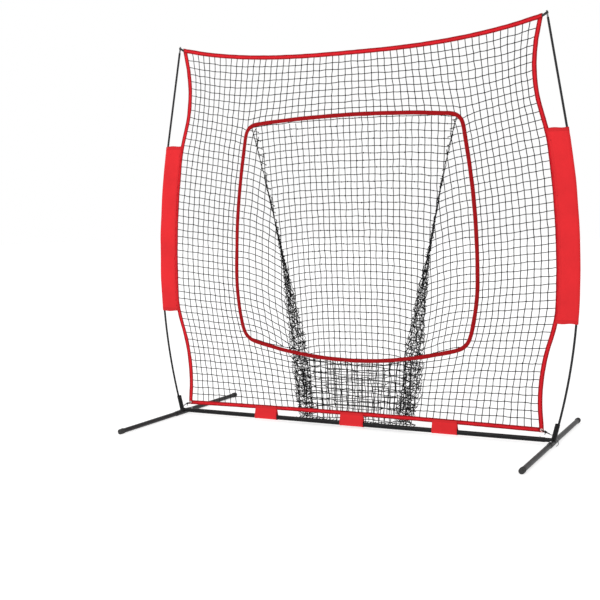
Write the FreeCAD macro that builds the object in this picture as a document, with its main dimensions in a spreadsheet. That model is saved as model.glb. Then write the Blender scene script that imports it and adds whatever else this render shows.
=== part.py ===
import FreeCAD, Part
import math
import os

import Sketcher

os.makedirs("parts", exist_ok=True)

# A pitching target net. X runs along the base bar, -Y is the side that the ball comes from and
# Z is up. The origin is on the ground under the middle of the net. Lengths are in millimetres.

Vector = FreeCAD.Vector
Rotation = FreeCAD.Rotation
Placement = FreeCAD.Placement

ORIGIN = Vector(0, 0, 0)
UP = Vector(0, 0, 1)
BACK = Vector(0, 1, 0)
RIGHT = Vector(1, 0, 0)
SIDES = (("left", -1), ("right", 1))
ENDS = (("front", -1), ("back", 1))

DIMENSIONS = {
    # Steel base
    "foot_spread": 2180.0,
    "foot_reach": 620.0,
    "tube_diameter": 25.0,
    "tube_wall": 1.2,
    "slide_gap": 0.3,
    "cap_diameter": 30.0,
    "cap_length": 34.0,
    "cap_end": 5.0,
    "cap_edge_radius": 3.0,
    "cap_flat": 0.6,
    "hub_length": 150.0,
    "hub_wall": 1.6,
    "hub_middle_gap": 30.0,
    "socket_diameter": 25.0,
    "socket_wall": 1.5,
    "socket_length": 98.0,
    "socket_lean": 14.0,
    "bar_height": 27.0,
    "centre_bar_length": 726.0,
    "swage_length": 60.0,
    "spigot_show": 25.0,
    # Snap buttons and their leaf springs
    "button_diameter": 7.5,
    "button_gap": 0.25,
    "button_lift": 3.0,
    "button_flange": 10.0,
    "button_flange_depth": 1.6,
    "button_flange_thickness": 1.0,
    "button_setback": 25.0,
    "leaf_width": 7.0,
    "leaf_thickness": 0.8,
    "leaf_length": 42.0,
    "leaf_gap": 0.1,
    # Bowed poles
    "pole_diameter": 11.5,
    "pole_section": 698.0,
    "pole_foot_straight": 84.0,
    "lower_bow_radius": 3060.0,
    "upper_bow_radius": 4296.0,
    "pole_top_lean": 10.2,
    "ferrule_wall": 1.0,
    "ferrule_length": 60.0,
    "tip_diameter": 9.0,
    "tip_length": 22.0,
    "neck_diameter": 6.8,
    "neck_length": 9.0,
    "tip_head_length": 3.0,
    # Outline of the net, at the middle of its webbing
    "net_bottom": 75.0,
    "net_bottom_rise": 8.0,
    "bottom_corner_reach": 76.0,
    "top_corner_reach": 29.0,
    "top_corner_drop": 17.0,
    "net_top_dip": 92.0,
    "net_top_power": 2.7,
    "upper_side_dip": 46.0,
    "lower_side_dip": 35.0,
    "border_width": 24.0,
    "border_thickness": 4.0,
    "net_thickness": 2.4,
    "strand_width": 6.0,
    # Window, at the middle of its binding
    "window_top": 1692.0,
    "window_top_drop": 37.0,
    "window_bottom": 374.0,
    "window_bottom_rise": 114.0,
    "window_half": 704.0,
    "window_widest_height": 820.0,
    "window_top_inset": 92.0,
    "window_bottom_inset": 85.0,
    "window_corner": 60.0,
    "binding_width": 18.0,
    # Pole sleeves
    "sleeve_bottom": 612.0,
    "sleeve_top": 1570.0,
    "sleeve_reach": 97.0,
    "sleeve_gap": 1.0,
    "fabric_thickness": 1.2,
    "seam_gap": 0.3,
    "sleeve_seam": 14.0,
    # Tabs round the base bar
    "tab_width": 136.0,
    "tab_spacing": 528.0,
    "tab_overlap": 16.0,
    # Ball pocket
    "pocket_top_inset": 22.0,
    "pocket_crease_power": 1.65,
    "pocket_floor_half": 331.0,
    "pocket_floor_height": 25.0,
    "pocket_depth": 88.0,
    "pocket_front_depth": 26.0,
    "pocket_skin": 1.2,
    # Corner fittings
    "grommet_hole": 8.0,
    "grommet_flange": 15.0,
    "grommet_metal": 0.8,
    "cord_diameter": 4.4,
    "cord_loop": 18.0,
    "knot_diameter": 10.0,
    "hook_reach": 14.0,
    "hook_wire": 4.0,
    "hook_clearance": 1.0,
    "strap_width": 10.0,
    "strap_thickness": 8.0,
    "loop_wall": 3.6,
}

# Cells of the net beside, below and above the window, across it, and in the pocket
SIDE_COLUMNS = 4
WINDOW_COLUMNS = 14
LOWER_ROWS = 4
WINDOW_ROWS = 13
UPPER_ROWS = 4
CORNER_STEPS = 4
POCKET_COLUMNS = 12
POCKET_ROWS = 15
FRONT_ROWS = 4
POCKET_SIDE_COLUMNS = 3
GATHERED_ROWS = 4
POCKET_SIDE_ROWS = 12

doc = FreeCAD.newDocument("pitching_target_net")
sheet = doc.addObject("Spreadsheet::Sheet", "Sizes")
for row, (alias, value) in enumerate(DIMENSIONS.items(), start=1):
    sheet.set("A%d" % row, alias)
    sheet.set("B%d" % row, str(value))
    sheet.setAlias("B%d" % row, alias)
doc.recompute()

pieces = []


class Measure:
    """A length with its number and the expression over the sheet that gives it."""

    def __init__(self, text, number):
        self.text = text
        self.number = number

    def __float__(self):
        return self.number

    def joined(self, sign, other, number):
        other_text = other.text if isinstance(other, Measure) else str(other)
        return Measure("(%s %s %s)" % (self.text, sign, other_text), number)

    def __add__(self, other):
        return self.joined("+", other, self.number + float(other))

    def __sub__(self, other):
        return self.joined("-", other, self.number - float(other))

    def __mul__(self, other):
        return self.joined("*", other, self.number * float(other))

    def __truediv__(self, other):
        return self.joined("/", other, self.number / float(other))


def size(alias):
    return Measure("Sizes." + alias, float(sheet.get(alias)))


def number(alias):
    return float(sheet.get(alias))


def finish(item, label, placement=None):
    """Name a sub-part, put it in its place and keep it for export."""
    item.Label = label
    if placement is not None:
        item.Placement = placement
    pieces.append(item)
    return item


def feature(label, shape, placement=None):
    """A sub-part whose shape no primitive or sketch gives."""
    item = doc.addObject("Part::Feature", "Shape")
    item.Shape = shape
    return finish(item, label, placement)


def lying(direction):
    """Turn a piece's own Z to a level direction, with its own X up."""
    return Rotation(UP, direction.cross(UP), direction, "ZXY")


# Sizes that several sub-parts share
tube_radius = size("tube_diameter") / 2
tube_bore = tube_radius - size("tube_wall")
swage_radius = tube_bore - size("slide_gap")
swage_bore = swage_radius - size("tube_wall")
hub_bore = tube_radius + size("slide_gap")
hub_radius = hub_bore + size("hub_wall")
socket_radius = size("socket_diameter") / 2
socket_bore = socket_radius - size("socket_wall")
button_radius = size("button_diameter") / 2
button_hole = button_radius + size("button_gap")
pole_radius = size("pole_diameter") / 2
ferrule_bore = pole_radius + size("seam_gap")
ferrule_radius = ferrule_bore + size("ferrule_wall")

foot_x = number("foot_spread") / 2
axis_height = number("cap_diameter") / 2 - number("cap_flat")
bar_end = foot_x - float(hub_radius) - number("spigot_show")
bar_joint = number("centre_bar_length") / 2
half_border = number("border_width") / 2
half_binding = number("binding_width") / 2
border_face = number("border_thickness") / 2


# Tubes and holes from primitives

def cylinder(radius, length, placement=None):
    item = doc.addObject("Part::Cylinder", "Cylinder")
    item.setExpression("Radius", radius.text)
    item.setExpression("Height", length.text)
    if placement is not None:
        item.Placement = placement
    return item


def cut(base, tool):
    item = doc.addObject("Part::Cut", "Cut")
    item.Base = base
    item.Tool = tool
    return item


def button_opening(distance):
    """The hole through the upper wall of a tube that lies along its own Z."""
    return cylinder(button_hole, size("tube_diameter"),
                    Placement(Vector(0, 0, float(distance)), Rotation(UP, RIGHT)))


def tube(radius, bore, length, button_places=()):
    item = cut(cylinder(radius, length), cylinder(bore, length))
    for distance in button_places:
        item = cut(item, button_opening(distance))
    return item


# Bodies from sketches

def outline_sketch(body, role, corners):
    """A closed outline of straight lines, with each corner pinned to the sheet."""
    sketch = body.newObject("Sketcher::SketchObject", "Outline")
    plane = [item for item in body.Origin.OriginFeatures if item.Role == role][0]
    sketch.AttachmentSupport = [(plane, "")]
    sketch.MapMode = "FlatFace"
    count = len(corners)
    points = [Vector(float(across), float(along), 0) for across, along in corners]
    for k in range(count):
        sketch.addGeometry(Part.LineSegment(points[k], points[(k + 1) % count]), False)
    for k in range(count):
        sketch.addConstraint(Sketcher.Constraint("Coincident", k, 2, (k + 1) % count, 1))
    for k, (across, along) in enumerate(corners):
        pin_corner(sketch, k, "DistanceX", across, -2)
        pin_corner(sketch, k, "DistanceY", along, -1)
    return sketch


def pin_corner(sketch, k, kind, measure, axis):
    if not isinstance(measure, Measure):
        sketch.addConstraint(Sketcher.Constraint("PointOnObject", k, 1, axis))
        return
    sketch.addConstraint(Sketcher.Constraint(kind, -1, 1, k, 1, float(measure)))
    name = "%s%d" % (kind, k)
    index = sketch.ConstraintCount - 1
    sketch.renameConstraint(index, name)
    sketch.setExpression("Constraints." + name, measure.text)


def turned(corners):
    """A body turned about its own Z from corners given as radius and height."""
    body = doc.addObject("PartDesign::Body", "Body")
    sketch = outline_sketch(body, "XZ_Plane", corners)
    turn = body.newObject("PartDesign::Revolution", "Turn")
    turn.Profile = sketch
    turn.ReferenceAxis = (sketch, ["V_Axis"])
    turn.Angle = 360.0
    doc.recompute()
    body.Tip = turn
    return body


def edges_at(shape, radius, height):
    """The names of the circular edges of one radius at one height."""
    names = []
    for k, edge in enumerate(shape.Edges, start=1):
        if not isinstance(edge.Curve, Part.Circle):
            continue
        same_radius = abs(edge.Curve.Radius - radius) < 0.01
        same_height = abs(edge.Curve.Center.z - height) < 0.01
        if same_radius and same_height:
            names.append("Edge%d" % k)
    return names


def rounded(body, radius, height, amount):
    """Round the turned edge at one radius and height."""
    base = body.Tip
    item = body.newObject("PartDesign::Fillet", "Round")
    item.Base = (base, edges_at(base.Shape, float(radius), float(height)))
    item.setExpression("Radius", amount.text)
    doc.recompute()
    body.Tip = item
    return body


# Base: hubs, sockets, spigots and feet

def hub_place(sign):
    start = Vector(sign * foot_x, -number("hub_length") / 2, axis_height)
    return Placement(start, lying(BACK))


def lean_direction(sign):
    lean = math.radians(number("socket_lean"))
    return Vector(sign * math.sin(lean), 0, math.cos(lean))


def hub_centre(sign):
    return Vector(sign * foot_x, 0, axis_height)


def make_hubs():
    """A sleeve that the two foot tubes push into, with a button hole at each end."""
    near = size("button_setback")
    far = size("hub_length") - size("button_setback")
    for side, sign in SIDES:
        hub = tube(hub_radius, hub_bore, size("hub_length"), (near, far))
        finish(hub, "foot_hub_" + side, hub_place(sign))


def make_sockets():
    """A leaning tube, its foot cut to sit on the hub's round top."""
    for side, sign in SIDES:
        place = Placement(hub_centre(sign), Rotation(UP, lean_direction(sign)))
        outer = cylinder(socket_radius, size("socket_length"), place)
        bore = cylinder(socket_bore, size("socket_length"), place)
        saddle = cylinder(hub_radius, size("hub_length"), hub_place(sign))
        finish(cut(cut(outer, bore), saddle), "pole_socket_" + side)


def make_spigots():
    """A stub tube that the base bar slides over, cut to fit the hub and the socket."""
    reach = size("spigot_show") + hub_radius + size("swage_length")
    for side, sign in SIDES:
        start = Vector(sign * foot_x, 0, number("bar_height"))
        place = Placement(start, lying(Vector(-sign, 0, 0)))
        outer = cylinder(swage_radius, reach, place)
        bore = cylinder(swage_bore, reach, place)
        button = cylinder(button_hole, size("tube_diameter"), button_place(sign * outer_button_x()))
        saddle = cylinder(hub_radius, size("hub_length"), hub_place(sign))
        socket = cylinder(socket_radius, size("socket_length"),
                          Placement(hub_centre(sign), Rotation(UP, lean_direction(sign))))
        finish(cut(cut(cut(cut(outer, bore), button), saddle), socket), "bar_spigot_" + side)


def make_foot_tubes():
    """Front and back tubes, each pushed into its hub and held there by a snap button."""
    inner_end = size("hub_middle_gap") / 2
    length = size("foot_reach") - inner_end
    hole = size("hub_length") / 2 - size("button_setback") - inner_end
    for side, sign in SIDES:
        for end, way in ENDS:
            start = Vector(sign * foot_x, way * float(inner_end), axis_height)
            foot = tube(tube_radius, tube_bore, length, (hole,))
            place = Placement(start, lying(Vector(0, way, 0)))
            finish(foot, "foot_tube_%s_%s" % (end, side), place)


def make_foot_caps():
    """Rubber caps with a rounded end, and a narrow flat underneath that they stand on."""
    radius = size("cap_diameter") / 2
    bore = tube_radius + size("slide_gap")
    depth = size("cap_length") - size("cap_end")
    for side, sign in SIDES:
        for end, way in ENDS:
            corners = [(bore, 0), (radius, 0), (radius, size("cap_length")),
                       (0, size("cap_length")), (0, depth), (bore, depth)]
            body = rounded(turned(corners), radius, size("cap_length"), size("cap_edge_radius"))
            flat = doc.addObject("Part::Box", "Flat")
            flat.setExpression("Length", size("cap_diameter").text)
            flat.setExpression("Width", size("cap_diameter").text)
            flat.setExpression("Height", size("cap_length").text)
            across = number("cap_diameter") / 2
            flat.Placement = Placement(Vector(-axis_height - 2 * across, -across, 0), Rotation())
            start = Vector(sign * foot_x, way * (number("foot_reach") - float(depth)), axis_height)
            place = Placement(start, lying(Vector(0, way, 0)))
            finish(cut(body, flat), "foot_cap_%s_%s" % (end, side), place)


def make_base_bars():
    """Outer bars with a swaged inner end, and a plain bar between them."""
    length = (size("foot_spread") - size("centre_bar_length")) / 2 - hub_radius - size("spigot_show")
    setback = size("button_setback")
    swage_end = length + size("swage_length")
    step = length - size("tube_wall")
    corners = [(tube_bore, 0), (tube_radius, 0), (tube_radius, length), (swage_radius, length),
               (swage_radius, swage_end), (swage_bore, swage_end), (swage_bore, step),
               (tube_bore, step)]
    for side, sign in SIDES:
        bar = cut(cut(turned(corners), button_opening(setback)), button_opening(length + setback))
        start = Vector(sign * bar_end, 0, number("bar_height"))
        finish(bar, "base_bar_" + side, Placement(start, lying(Vector(-sign, 0, 0))))
    centre_length = size("centre_bar_length")
    centre = tube(tube_radius, tube_bore, centre_length, (setback, centre_length - setback))
    start = Vector(-bar_joint, 0, number("bar_height"))
    finish(centre, "base_bar_centre", Placement(start, lying(RIGHT)))


# Snap buttons, which stand upright through both walls of a joint

def button_place(across, along=0.0, height=None):
    if height is None:
        height = number("bar_height")
    return Placement(Vector(across, along, height), Rotation())


def outer_button_x():
    return bar_end - number("button_setback")


def inner_button_x():
    return bar_joint - number("button_setback")


def snap_buttons():
    """Each button's name, place and run inwards, with the radius outside and the bore inside."""
    found = []
    for side, sign in SIDES:
        outward = Vector(sign, 0, 0)
        found.append(("bar_button_outer_" + side, button_place(sign * outer_button_x()),
                      outward, tube_radius, swage_bore))
        found.append(("bar_button_inner_" + side, button_place(sign * inner_button_x()),
                      outward, tube_radius, swage_bore))
        along = number("hub_length") / 2 - number("button_setback")
        for end, way in ENDS:
            place = button_place(sign * foot_x, way * along, axis_height)
            found.append(("foot_button_%s_%s" % (end, side), place,
                          Vector(0, way, 0), hub_radius, tube_bore))
    return found


def make_buttons():
    """A round steel button with a flange that stops it inside the inner tube."""
    for label, place, _, outside, bore in snap_buttons():
        top = outside + size("button_lift")
        flange_top = bore - size("button_flange_depth")
        flange_bottom = flange_top - size("button_flange_thickness")
        flange = size("button_flange") / 2
        corners = [(0, flange_bottom), (flange, flange_bottom), (flange, flange_top),
                   (button_radius, flange_top), (button_radius, top), (0, top)]
        finish(rounded(turned(corners), button_radius, top, button_radius / 3), label, place)


def make_button_springs():
    """A bent leaf in each inner tube: one leg under the button, the other on the tube's floor."""
    leaves = []
    half_flange = number("button_flange") / 2
    thick = number("leaf_thickness")
    length = number("leaf_length")
    for _, place, run, _, bore in snap_buttons():
        top = float(bore) - number("button_flange_depth") - number("button_flange_thickness")
        top -= number("leaf_gap")
        floor = -math.sqrt(float(bore) ** 2 - (number("leaf_width") / 2) ** 2) + number("leaf_gap")
        outline = [(-half_flange, top), (half_flange, top), (length, floor),
                   (0, floor), (0, floor + thick), (length - 4 * thick, floor + thick),
                   (half_flange - thick / 2, top - thick), (-half_flange, top - thick)]
        points = [Vector(along, 0, height) for along, height in outline]
        wire = Part.makePolygon(points + points[:1])
        leaf = Part.Face(wire).extrude(BACK * number("leaf_width"))
        leaf.translate(BACK * (-number("leaf_width") / 2))
        turn = Rotation(run, UP.cross(run), UP, "ZXY")
        leaf.Placement = Placement(place.Base, turn).multiply(leaf.Placement)
        leaves.append(leaf)
    feature("button_springs", Part.makeCompound(leaves))


# Bowed poles: straight in the socket, two arcs, then straight to the tip

def pole_stretches():
    lean = math.radians(number("socket_lean"))
    top_lean = math.radians(number("pole_top_lean"))
    return [("line", number("pole_foot_straight"), 0.0),
            ("arc", number("lower_bow_radius") * lean, number("lower_bow_radius")),
            ("arc", number("upper_bow_radius") * top_lean, number("upper_bow_radius"))]


def pole_start():
    """The middle of the pole's lower end, just clear of the hub and of the socket's outer wall."""
    direction = lean_direction(1)
    outward = Vector(direction.z, 0, -direction.x)
    offset = float(socket_bore - pole_radius) - number("slide_gap")
    return hub_centre(1) + direction * float(hub_radius + size("slide_gap")) + outward * offset


def pole_at(distance):
    """The place on the right pole's axis at a length from its foot, and its lean from upright."""
    place = pole_start()
    lean = math.radians(number("socket_lean"))
    left = distance
    for kind, length, radius in pole_stretches():
        part = min(left, length)
        if kind == "line":
            place = place + Vector(math.sin(lean), 0, math.cos(lean)) * part
        else:
            turned_lean = lean - part / radius
            place = place + Vector(math.cos(turned_lean) - math.cos(lean), 0,
                                   math.sin(lean) - math.sin(turned_lean)) * radius
            lean = turned_lean
        left -= part
    return place + Vector(math.sin(lean), 0, math.cos(lean)) * left, lean


def pole_x(height):
    """How far the pole's axis is from the middle of the net at a height."""
    low = 0.0
    high = 4 * number("pole_section")
    for _ in range(60):
        middle = (low + high) / 2
        if pole_at(middle)[0].z < height:
            low = middle
        else:
            high = middle
    return pole_at(low)[0].x


def flipped(vector, sign):
    return Vector(sign * vector.x, vector.y, vector.z)


def pole_path(start, end, sign):
    """The edges of a pole's axis between two lengths from its foot."""
    bounds = [0.0]
    for _, length, _ in pole_stretches():
        bounds.append(bounds[-1] + length)
    bounds.append(4 * number("pole_section"))
    edges = []
    for k in range(len(bounds) - 1):
        low = max(start, bounds[k])
        high = min(end, bounds[k + 1])
        if high - low < 0.01:
            continue
        first = flipped(pole_at(low)[0], sign)
        last = flipped(pole_at(high)[0], sign)
        if k in (0, len(bounds) - 2):
            edges.append(Part.LineSegment(first, last).toShape())
        else:
            middle = flipped(pole_at((low + high) / 2)[0], sign)
            edges.append(Part.Arc(first, middle, last).toShape())
    return edges


def swept_round(edges, radius):
    """A round bar along edges that run smoothly into each other."""
    path = Part.Wire(edges)
    first = edges[0]
    direction = first.tangentAt(first.FirstParameter)
    ring = Part.Wire(Part.makeCircle(radius, first.valueAt(first.FirstParameter), direction))
    return path.makePipeShell([ring], True, False)


def along_pole(distance, sign):
    """A placement on the pole's axis, with the piece's own Z up the pole."""
    place, lean = pole_at(distance)
    return Placement(flipped(place, sign), Rotation(UP, Vector(sign * math.sin(lean), 0, math.cos(lean))))


def make_poles():
    section = number("pole_section")
    for side, sign in SIDES:
        for k, name in enumerate(("lower", "middle", "upper")):
            rod = swept_round(pole_path(k * section, (k + 1) * section, sign), float(pole_radius))
            feature("pole_%s_%s" % (name, side), rod)


def make_ferrules():
    """Steel tubes over the two joints of each pole, inside its sleeve."""
    tubes = []
    length = number("ferrule_length")
    for _, sign in SIDES:
        for joint in (1, 2):
            outer = Part.makeCylinder(float(ferrule_radius), length)
            ring = outer.cut(Part.makeCylinder(float(ferrule_bore), length))
            start = joint * number("pole_section") - length / 2
            ring.Placement = along_pole(start + length / 2, sign)
            ring.translate(ring.Placement.Rotation.multVec(UP) * (-length / 2))
            tubes.append(ring)
    feature("pole_ferrules", Part.makeCompound(tubes))


def make_pole_tips():
    """A metal pin on each pole's end, with a neck that holds the net's corner loop."""
    pin = size("tip_diameter") / 2
    neck = size("neck_diameter") / 2
    neck_top = size("tip_length") + size("neck_length")
    top = neck_top + size("tip_head_length")
    for side, sign in SIDES:
        corners = [(0, 0), (pin, 0), (pin, size("tip_length")), (neck, size("tip_length")),
                   (neck, neck_top), (pin, neck_top), (pin, top), (0, top)]
        body = rounded(turned(corners), pin, top, size("tip_head_length") / 3)
        finish(body, "pole_tip_" + side, along_pole(3 * number("pole_section"), sign))


# Outline of the net and of its window. Its corners keep their distance from the poles.

tip_neck = pole_at(3 * number("pole_section") + number("tip_length") + number("neck_length") / 2)[0]
net_top = tip_neck.z - number("top_corner_drop")
net_top_half = tip_neck.x - number("top_corner_reach")
net_bottom_half = pole_x(number("net_bottom")) - number("bottom_corner_reach")


def top_z(across):
    share = (abs(across) / net_top_half) ** number("net_top_power")
    return net_top - number("net_top_dip") * (1 - share)


def bottom_z(across):
    share = (across / net_bottom_half) ** 2
    return number("net_bottom") + number("net_bottom_rise") * (1 - share)


def side_x(height):
    """Half the net's width: it follows the pole along the sleeve and draws in beyond its ends."""
    low = number("sleeve_bottom")
    high = number("sleeve_top")
    if low <= height <= high:
        return pole_x(height) - number("sleeve_reach")
    if height > high:
        inner = (high, pole_x(high) - number("sleeve_reach"))
        outer = (net_top, net_top_half)
        dip = number("upper_side_dip")
    else:
        inner = (low, pole_x(low) - number("sleeve_reach"))
        outer = (number("net_bottom"), net_bottom_half)
        dip = number("lower_side_dip")
    share = (height - inner[0]) / (outer[0] - inner[0])
    return inner[1] + (outer[1] - inner[1]) * share - 4 * dip * share * (1 - share)


def window_side(height, offset):
    widest = number("window_widest_height")
    if height > widest:
        share = (height - widest) / (number("window_top") - widest)
        inset = number("window_top_inset")
    else:
        share = (widest - height) / (widest - number("window_bottom"))
        inset = number("window_bottom_inset")
    return number("window_half") - inset * share ** 2 + offset


def window_edge(across, offset, upper):
    share = (across / number("window_half")) ** 2
    if upper:
        return number("window_top") - number("window_top_drop") * share + offset
    return number("window_bottom") + number("window_bottom_rise") * share - offset


def window_corner(offset, upper):
    """Where the side of the window and its top or bottom would meet if they weren't rounded."""
    across = number("window_half")
    for _ in range(30):
        height = window_edge(across, offset, upper)
        across = window_side(height, offset)
    return across, height


def net_corner(upper):
    """The inner corner of the border webbing."""
    across = net_top_half if upper else net_bottom_half
    for _ in range(30):
        height = top_z(across) - half_border if upper else bottom_z(across) + half_border
        across = side_x(height) - half_border
    return across, height


def shared(low, high, count):
    return [low + (high - low) * k / count for k in range(count + 1)]


def mixed(first, second, share):
    return tuple(a + (b - a) * share for a, b in zip(first, second))


COLUMNS = 2 * SIDE_COLUMNS + WINDOW_COLUMNS
ROWS = LOWER_ROWS + WINDOW_ROWS + UPPER_ROWS
FIRST_COLUMN = SIDE_COLUMNS
LAST_COLUMN = SIDE_COLUMNS + WINDOW_COLUMNS
FIRST_ROW = LOWER_ROWS
LAST_ROW = LOWER_ROWS + WINDOW_ROWS


def border_points():
    """The inner edge of the webbing, one point where each line of the net ends."""
    low_x, low_z = net_corner(False)
    high_x, high_z = net_corner(True)
    points = {}
    for i, x in enumerate(shared(-low_x, low_x, COLUMNS)):
        points[i, 0] = (x, bottom_z(x) + half_border)
    for i, x in enumerate(shared(-high_x, high_x, COLUMNS)):
        points[i, ROWS] = (x, top_z(x) - half_border)
    for j, z in enumerate(shared(low_z, high_z, ROWS)):
        if 0 < j < ROWS:
            points[0, j] = (half_border - side_x(z), z)
            points[COLUMNS, j] = (side_x(z) - half_border, z)
    return points


def window_points(offset):
    """The window's edge where the net's lines end on it; its corners are taken unrounded."""
    low_x, low_z = window_corner(offset, False)
    high_x, high_z = window_corner(offset, True)
    points = {}
    for k, x in enumerate(shared(-low_x, low_x, WINDOW_COLUMNS)):
        points[FIRST_COLUMN + k, FIRST_ROW] = (x, window_edge(x, offset, False))
    for k, x in enumerate(shared(-high_x, high_x, WINDOW_COLUMNS)):
        points[FIRST_COLUMN + k, LAST_ROW] = (x, window_edge(x, offset, True))
    for k, z in enumerate(shared(low_z, high_z, WINDOW_ROWS)):
        if 0 < k < WINDOW_ROWS:
            points[FIRST_COLUMN, FIRST_ROW + k] = (-window_side(z, offset), z)
            points[LAST_COLUMN, FIRST_ROW + k] = (window_side(z, offset), z)
    return points


def net_points():
    """Every crossing of the net: straight lines from the border to the window's edge."""
    points = border_points()
    points.update(window_points(half_binding))
    for i in range(FIRST_COLUMN, LAST_COLUMN + 1):
        for j in range(1, FIRST_ROW):
            points[i, j] = mixed(points[i, 0], points[i, FIRST_ROW], j / FIRST_ROW)
        for j in range(LAST_ROW + 1, ROWS):
            share = (j - LAST_ROW) / (ROWS - LAST_ROW)
            points[i, j] = mixed(points[i, LAST_ROW], points[i, ROWS], share)
    for j in range(FIRST_ROW, LAST_ROW + 1):
        for i in range(1, FIRST_COLUMN):
            points[i, j] = mixed(points[0, j], points[FIRST_COLUMN, j], i / FIRST_COLUMN)
            mirror = COLUMNS - i
            points[mirror, j] = mixed(points[COLUMNS, j], points[LAST_COLUMN, j], i / FIRST_COLUMN)
    for rows in ((0, FIRST_ROW), (LAST_ROW, ROWS)):
        for columns in ((0, FIRST_COLUMN), (LAST_COLUMN, COLUMNS)):
            fill_patch(points, columns, rows)
    return points


def fill_patch(points, columns, rows):
    """The crossings inside a corner of the net, blended from its four edges."""
    left, right = columns
    low, high = rows
    for i in range(left + 1, right):
        for j in range(low + 1, high):
            u = (i - left) / (right - left)
            v = (j - low) / (high - low)
            across = mixed(points[left, j], points[right, j], u)
            along = mixed(points[i, low], points[i, high], v)
            flat = mixed(mixed(points[left, low], points[right, low], u),
                         mixed(points[left, high], points[right, high], u), v)
            points[i, j] = tuple(a + b - c for a, b, c in zip(across, along, flat))


def window_outline(offset):
    """The window's edge as one closed outline, with its corners rounded."""
    points = window_points(offset)
    bottom = [points[i, FIRST_ROW] for i in range(FIRST_COLUMN + 1, LAST_COLUMN)]
    right = [points[LAST_COLUMN, j] for j in range(FIRST_ROW + 1, LAST_ROW)]
    top = [points[i, LAST_ROW] for i in range(LAST_COLUMN - 1, FIRST_COLUMN, -1)]
    left = [points[FIRST_COLUMN, j] for j in range(LAST_ROW - 1, FIRST_ROW, -1)]
    corners = [points[LAST_COLUMN, FIRST_ROW], points[LAST_COLUMN, LAST_ROW],
               points[FIRST_COLUMN, LAST_ROW], points[FIRST_COLUMN, FIRST_ROW]]
    sides = [bottom, right, top, left]
    outline = []
    for k in range(4):
        outline += sides[k]
        outline += rounded_corner(sides[k][-1], corners[k], sides[(k + 1) % 4][0])
    return outline


def rounded_corner(before, corner, after):
    """Points on a curve that leaves one side and joins the next, short of their corner."""
    cut_length = number("window_corner")
    start = toward(corner, before, cut_length)
    end = toward(corner, after, cut_length)
    points = []
    for k in range(CORNER_STEPS + 1):
        share = k / CORNER_STEPS
        points.append(mixed(mixed(start, corner, share), mixed(corner, end, share), share))
    return points


def toward(start, end, length):
    run = math.hypot(end[0] - start[0], end[1] - start[1])
    return mixed(start, end, length / run)


# Flat cloth and netting, cut out in the plane of the net and given a thickness

def wire_at(points, depth_at):
    vectors = [Vector(x, depth_at(z), z) for x, z in points]
    return Part.makePolygon(vectors + vectors[:1])


def plate(outline, thickness, holes=(), depth_at=lambda z: 0.0, normal=BACK):
    """A flat piece with holes, its thickness centred on the plane that it is drawn in."""
    wires = [wire_at(outline, depth_at)] + [wire_at(hole, depth_at) for hole in holes]
    face = Part.makeFace(Part.makeCompound(wires), "Part::FaceMakerBullseye")
    solid = face.extrude(normal * thickness)
    solid.translate(normal * (-thickness / 2))
    return solid


def line_offset(first, second, inward, amount):
    """A line through two points, moved toward a third one."""
    dx = second[0] - first[0]
    dz = second[1] - first[1]
    run = math.hypot(dx, dz)
    nx = -dz / run
    nz = dx / run
    if (inward[0] - first[0]) * nx + (inward[1] - first[1]) * nz < 0:
        nx = -nx
        nz = -nz
    return (first[0] + nx * amount, first[1] + nz * amount), (dx / run, dz / run)


def crossing(first, second):
    (ax, az), (ux, uz) = first
    (bx, bz), (vx, vz) = second
    length = ((bx - ax) * vz - (bz - az) * vx) / (ux * vz - uz * vx)
    return (ax + ux * length, az + uz * length)


def gap(corners, margin):
    """The open part of one cell of the net, inside its half strands."""
    middle = (sum(x for x, _ in corners) / 4, sum(z for _, z in corners) / 4)
    lines = [line_offset(corners[k], corners[(k + 1) % 4], middle, margin) for k in range(4)]
    return [crossing(lines[k - 1], lines[k]) for k in range(4)]


def cells(points, columns, rows, margin):
    gaps = []
    for i in range(*columns):
        for j in range(*rows):
            corners = [points[i, j], points[i + 1, j], points[i + 1, j + 1], points[i, j + 1]]
            gaps.append(gap(corners, margin))
    return gaps


def net_rim(points):
    """The net's outer edge, in order round it."""
    bottom = [points[i, 0] for i in range(COLUMNS)]
    right = [points[COLUMNS, j] for j in range(ROWS)]
    top = [points[i, ROWS] for i in range(COLUMNS, 0, -1)]
    left = [points[0, j] for j in range(ROWS, 0, -1)]
    return bottom + right + top + left


def make_net_panel():
    points = net_points()
    margin = number("strand_width") / 2
    gaps = cells(points, (0, COLUMNS), (0, FIRST_ROW), margin)
    gaps += cells(points, (0, COLUMNS), (LAST_ROW, ROWS), margin)
    gaps += cells(points, (0, FIRST_COLUMN), (FIRST_ROW, LAST_ROW), margin)
    gaps += cells(points, (LAST_COLUMN, COLUMNS), (FIRST_ROW, LAST_ROW), margin)
    print("gaps in the net panel:", len(gaps))
    panel = plate(net_rim(points), number("net_thickness"), gaps + [window_outline(half_binding)])
    feature("net_panel", panel)


def make_binding():
    ring = plate(window_outline(half_binding), number("border_thickness"),
                 [window_outline(-half_binding)])
    feature("window_binding", ring)


def grommet_place(sign):
    return Vector(sign * net_bottom_half, 0, number("net_bottom"))


def grommet_barrel():
    return number("grommet_hole") / 2 + number("grommet_metal")


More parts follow.
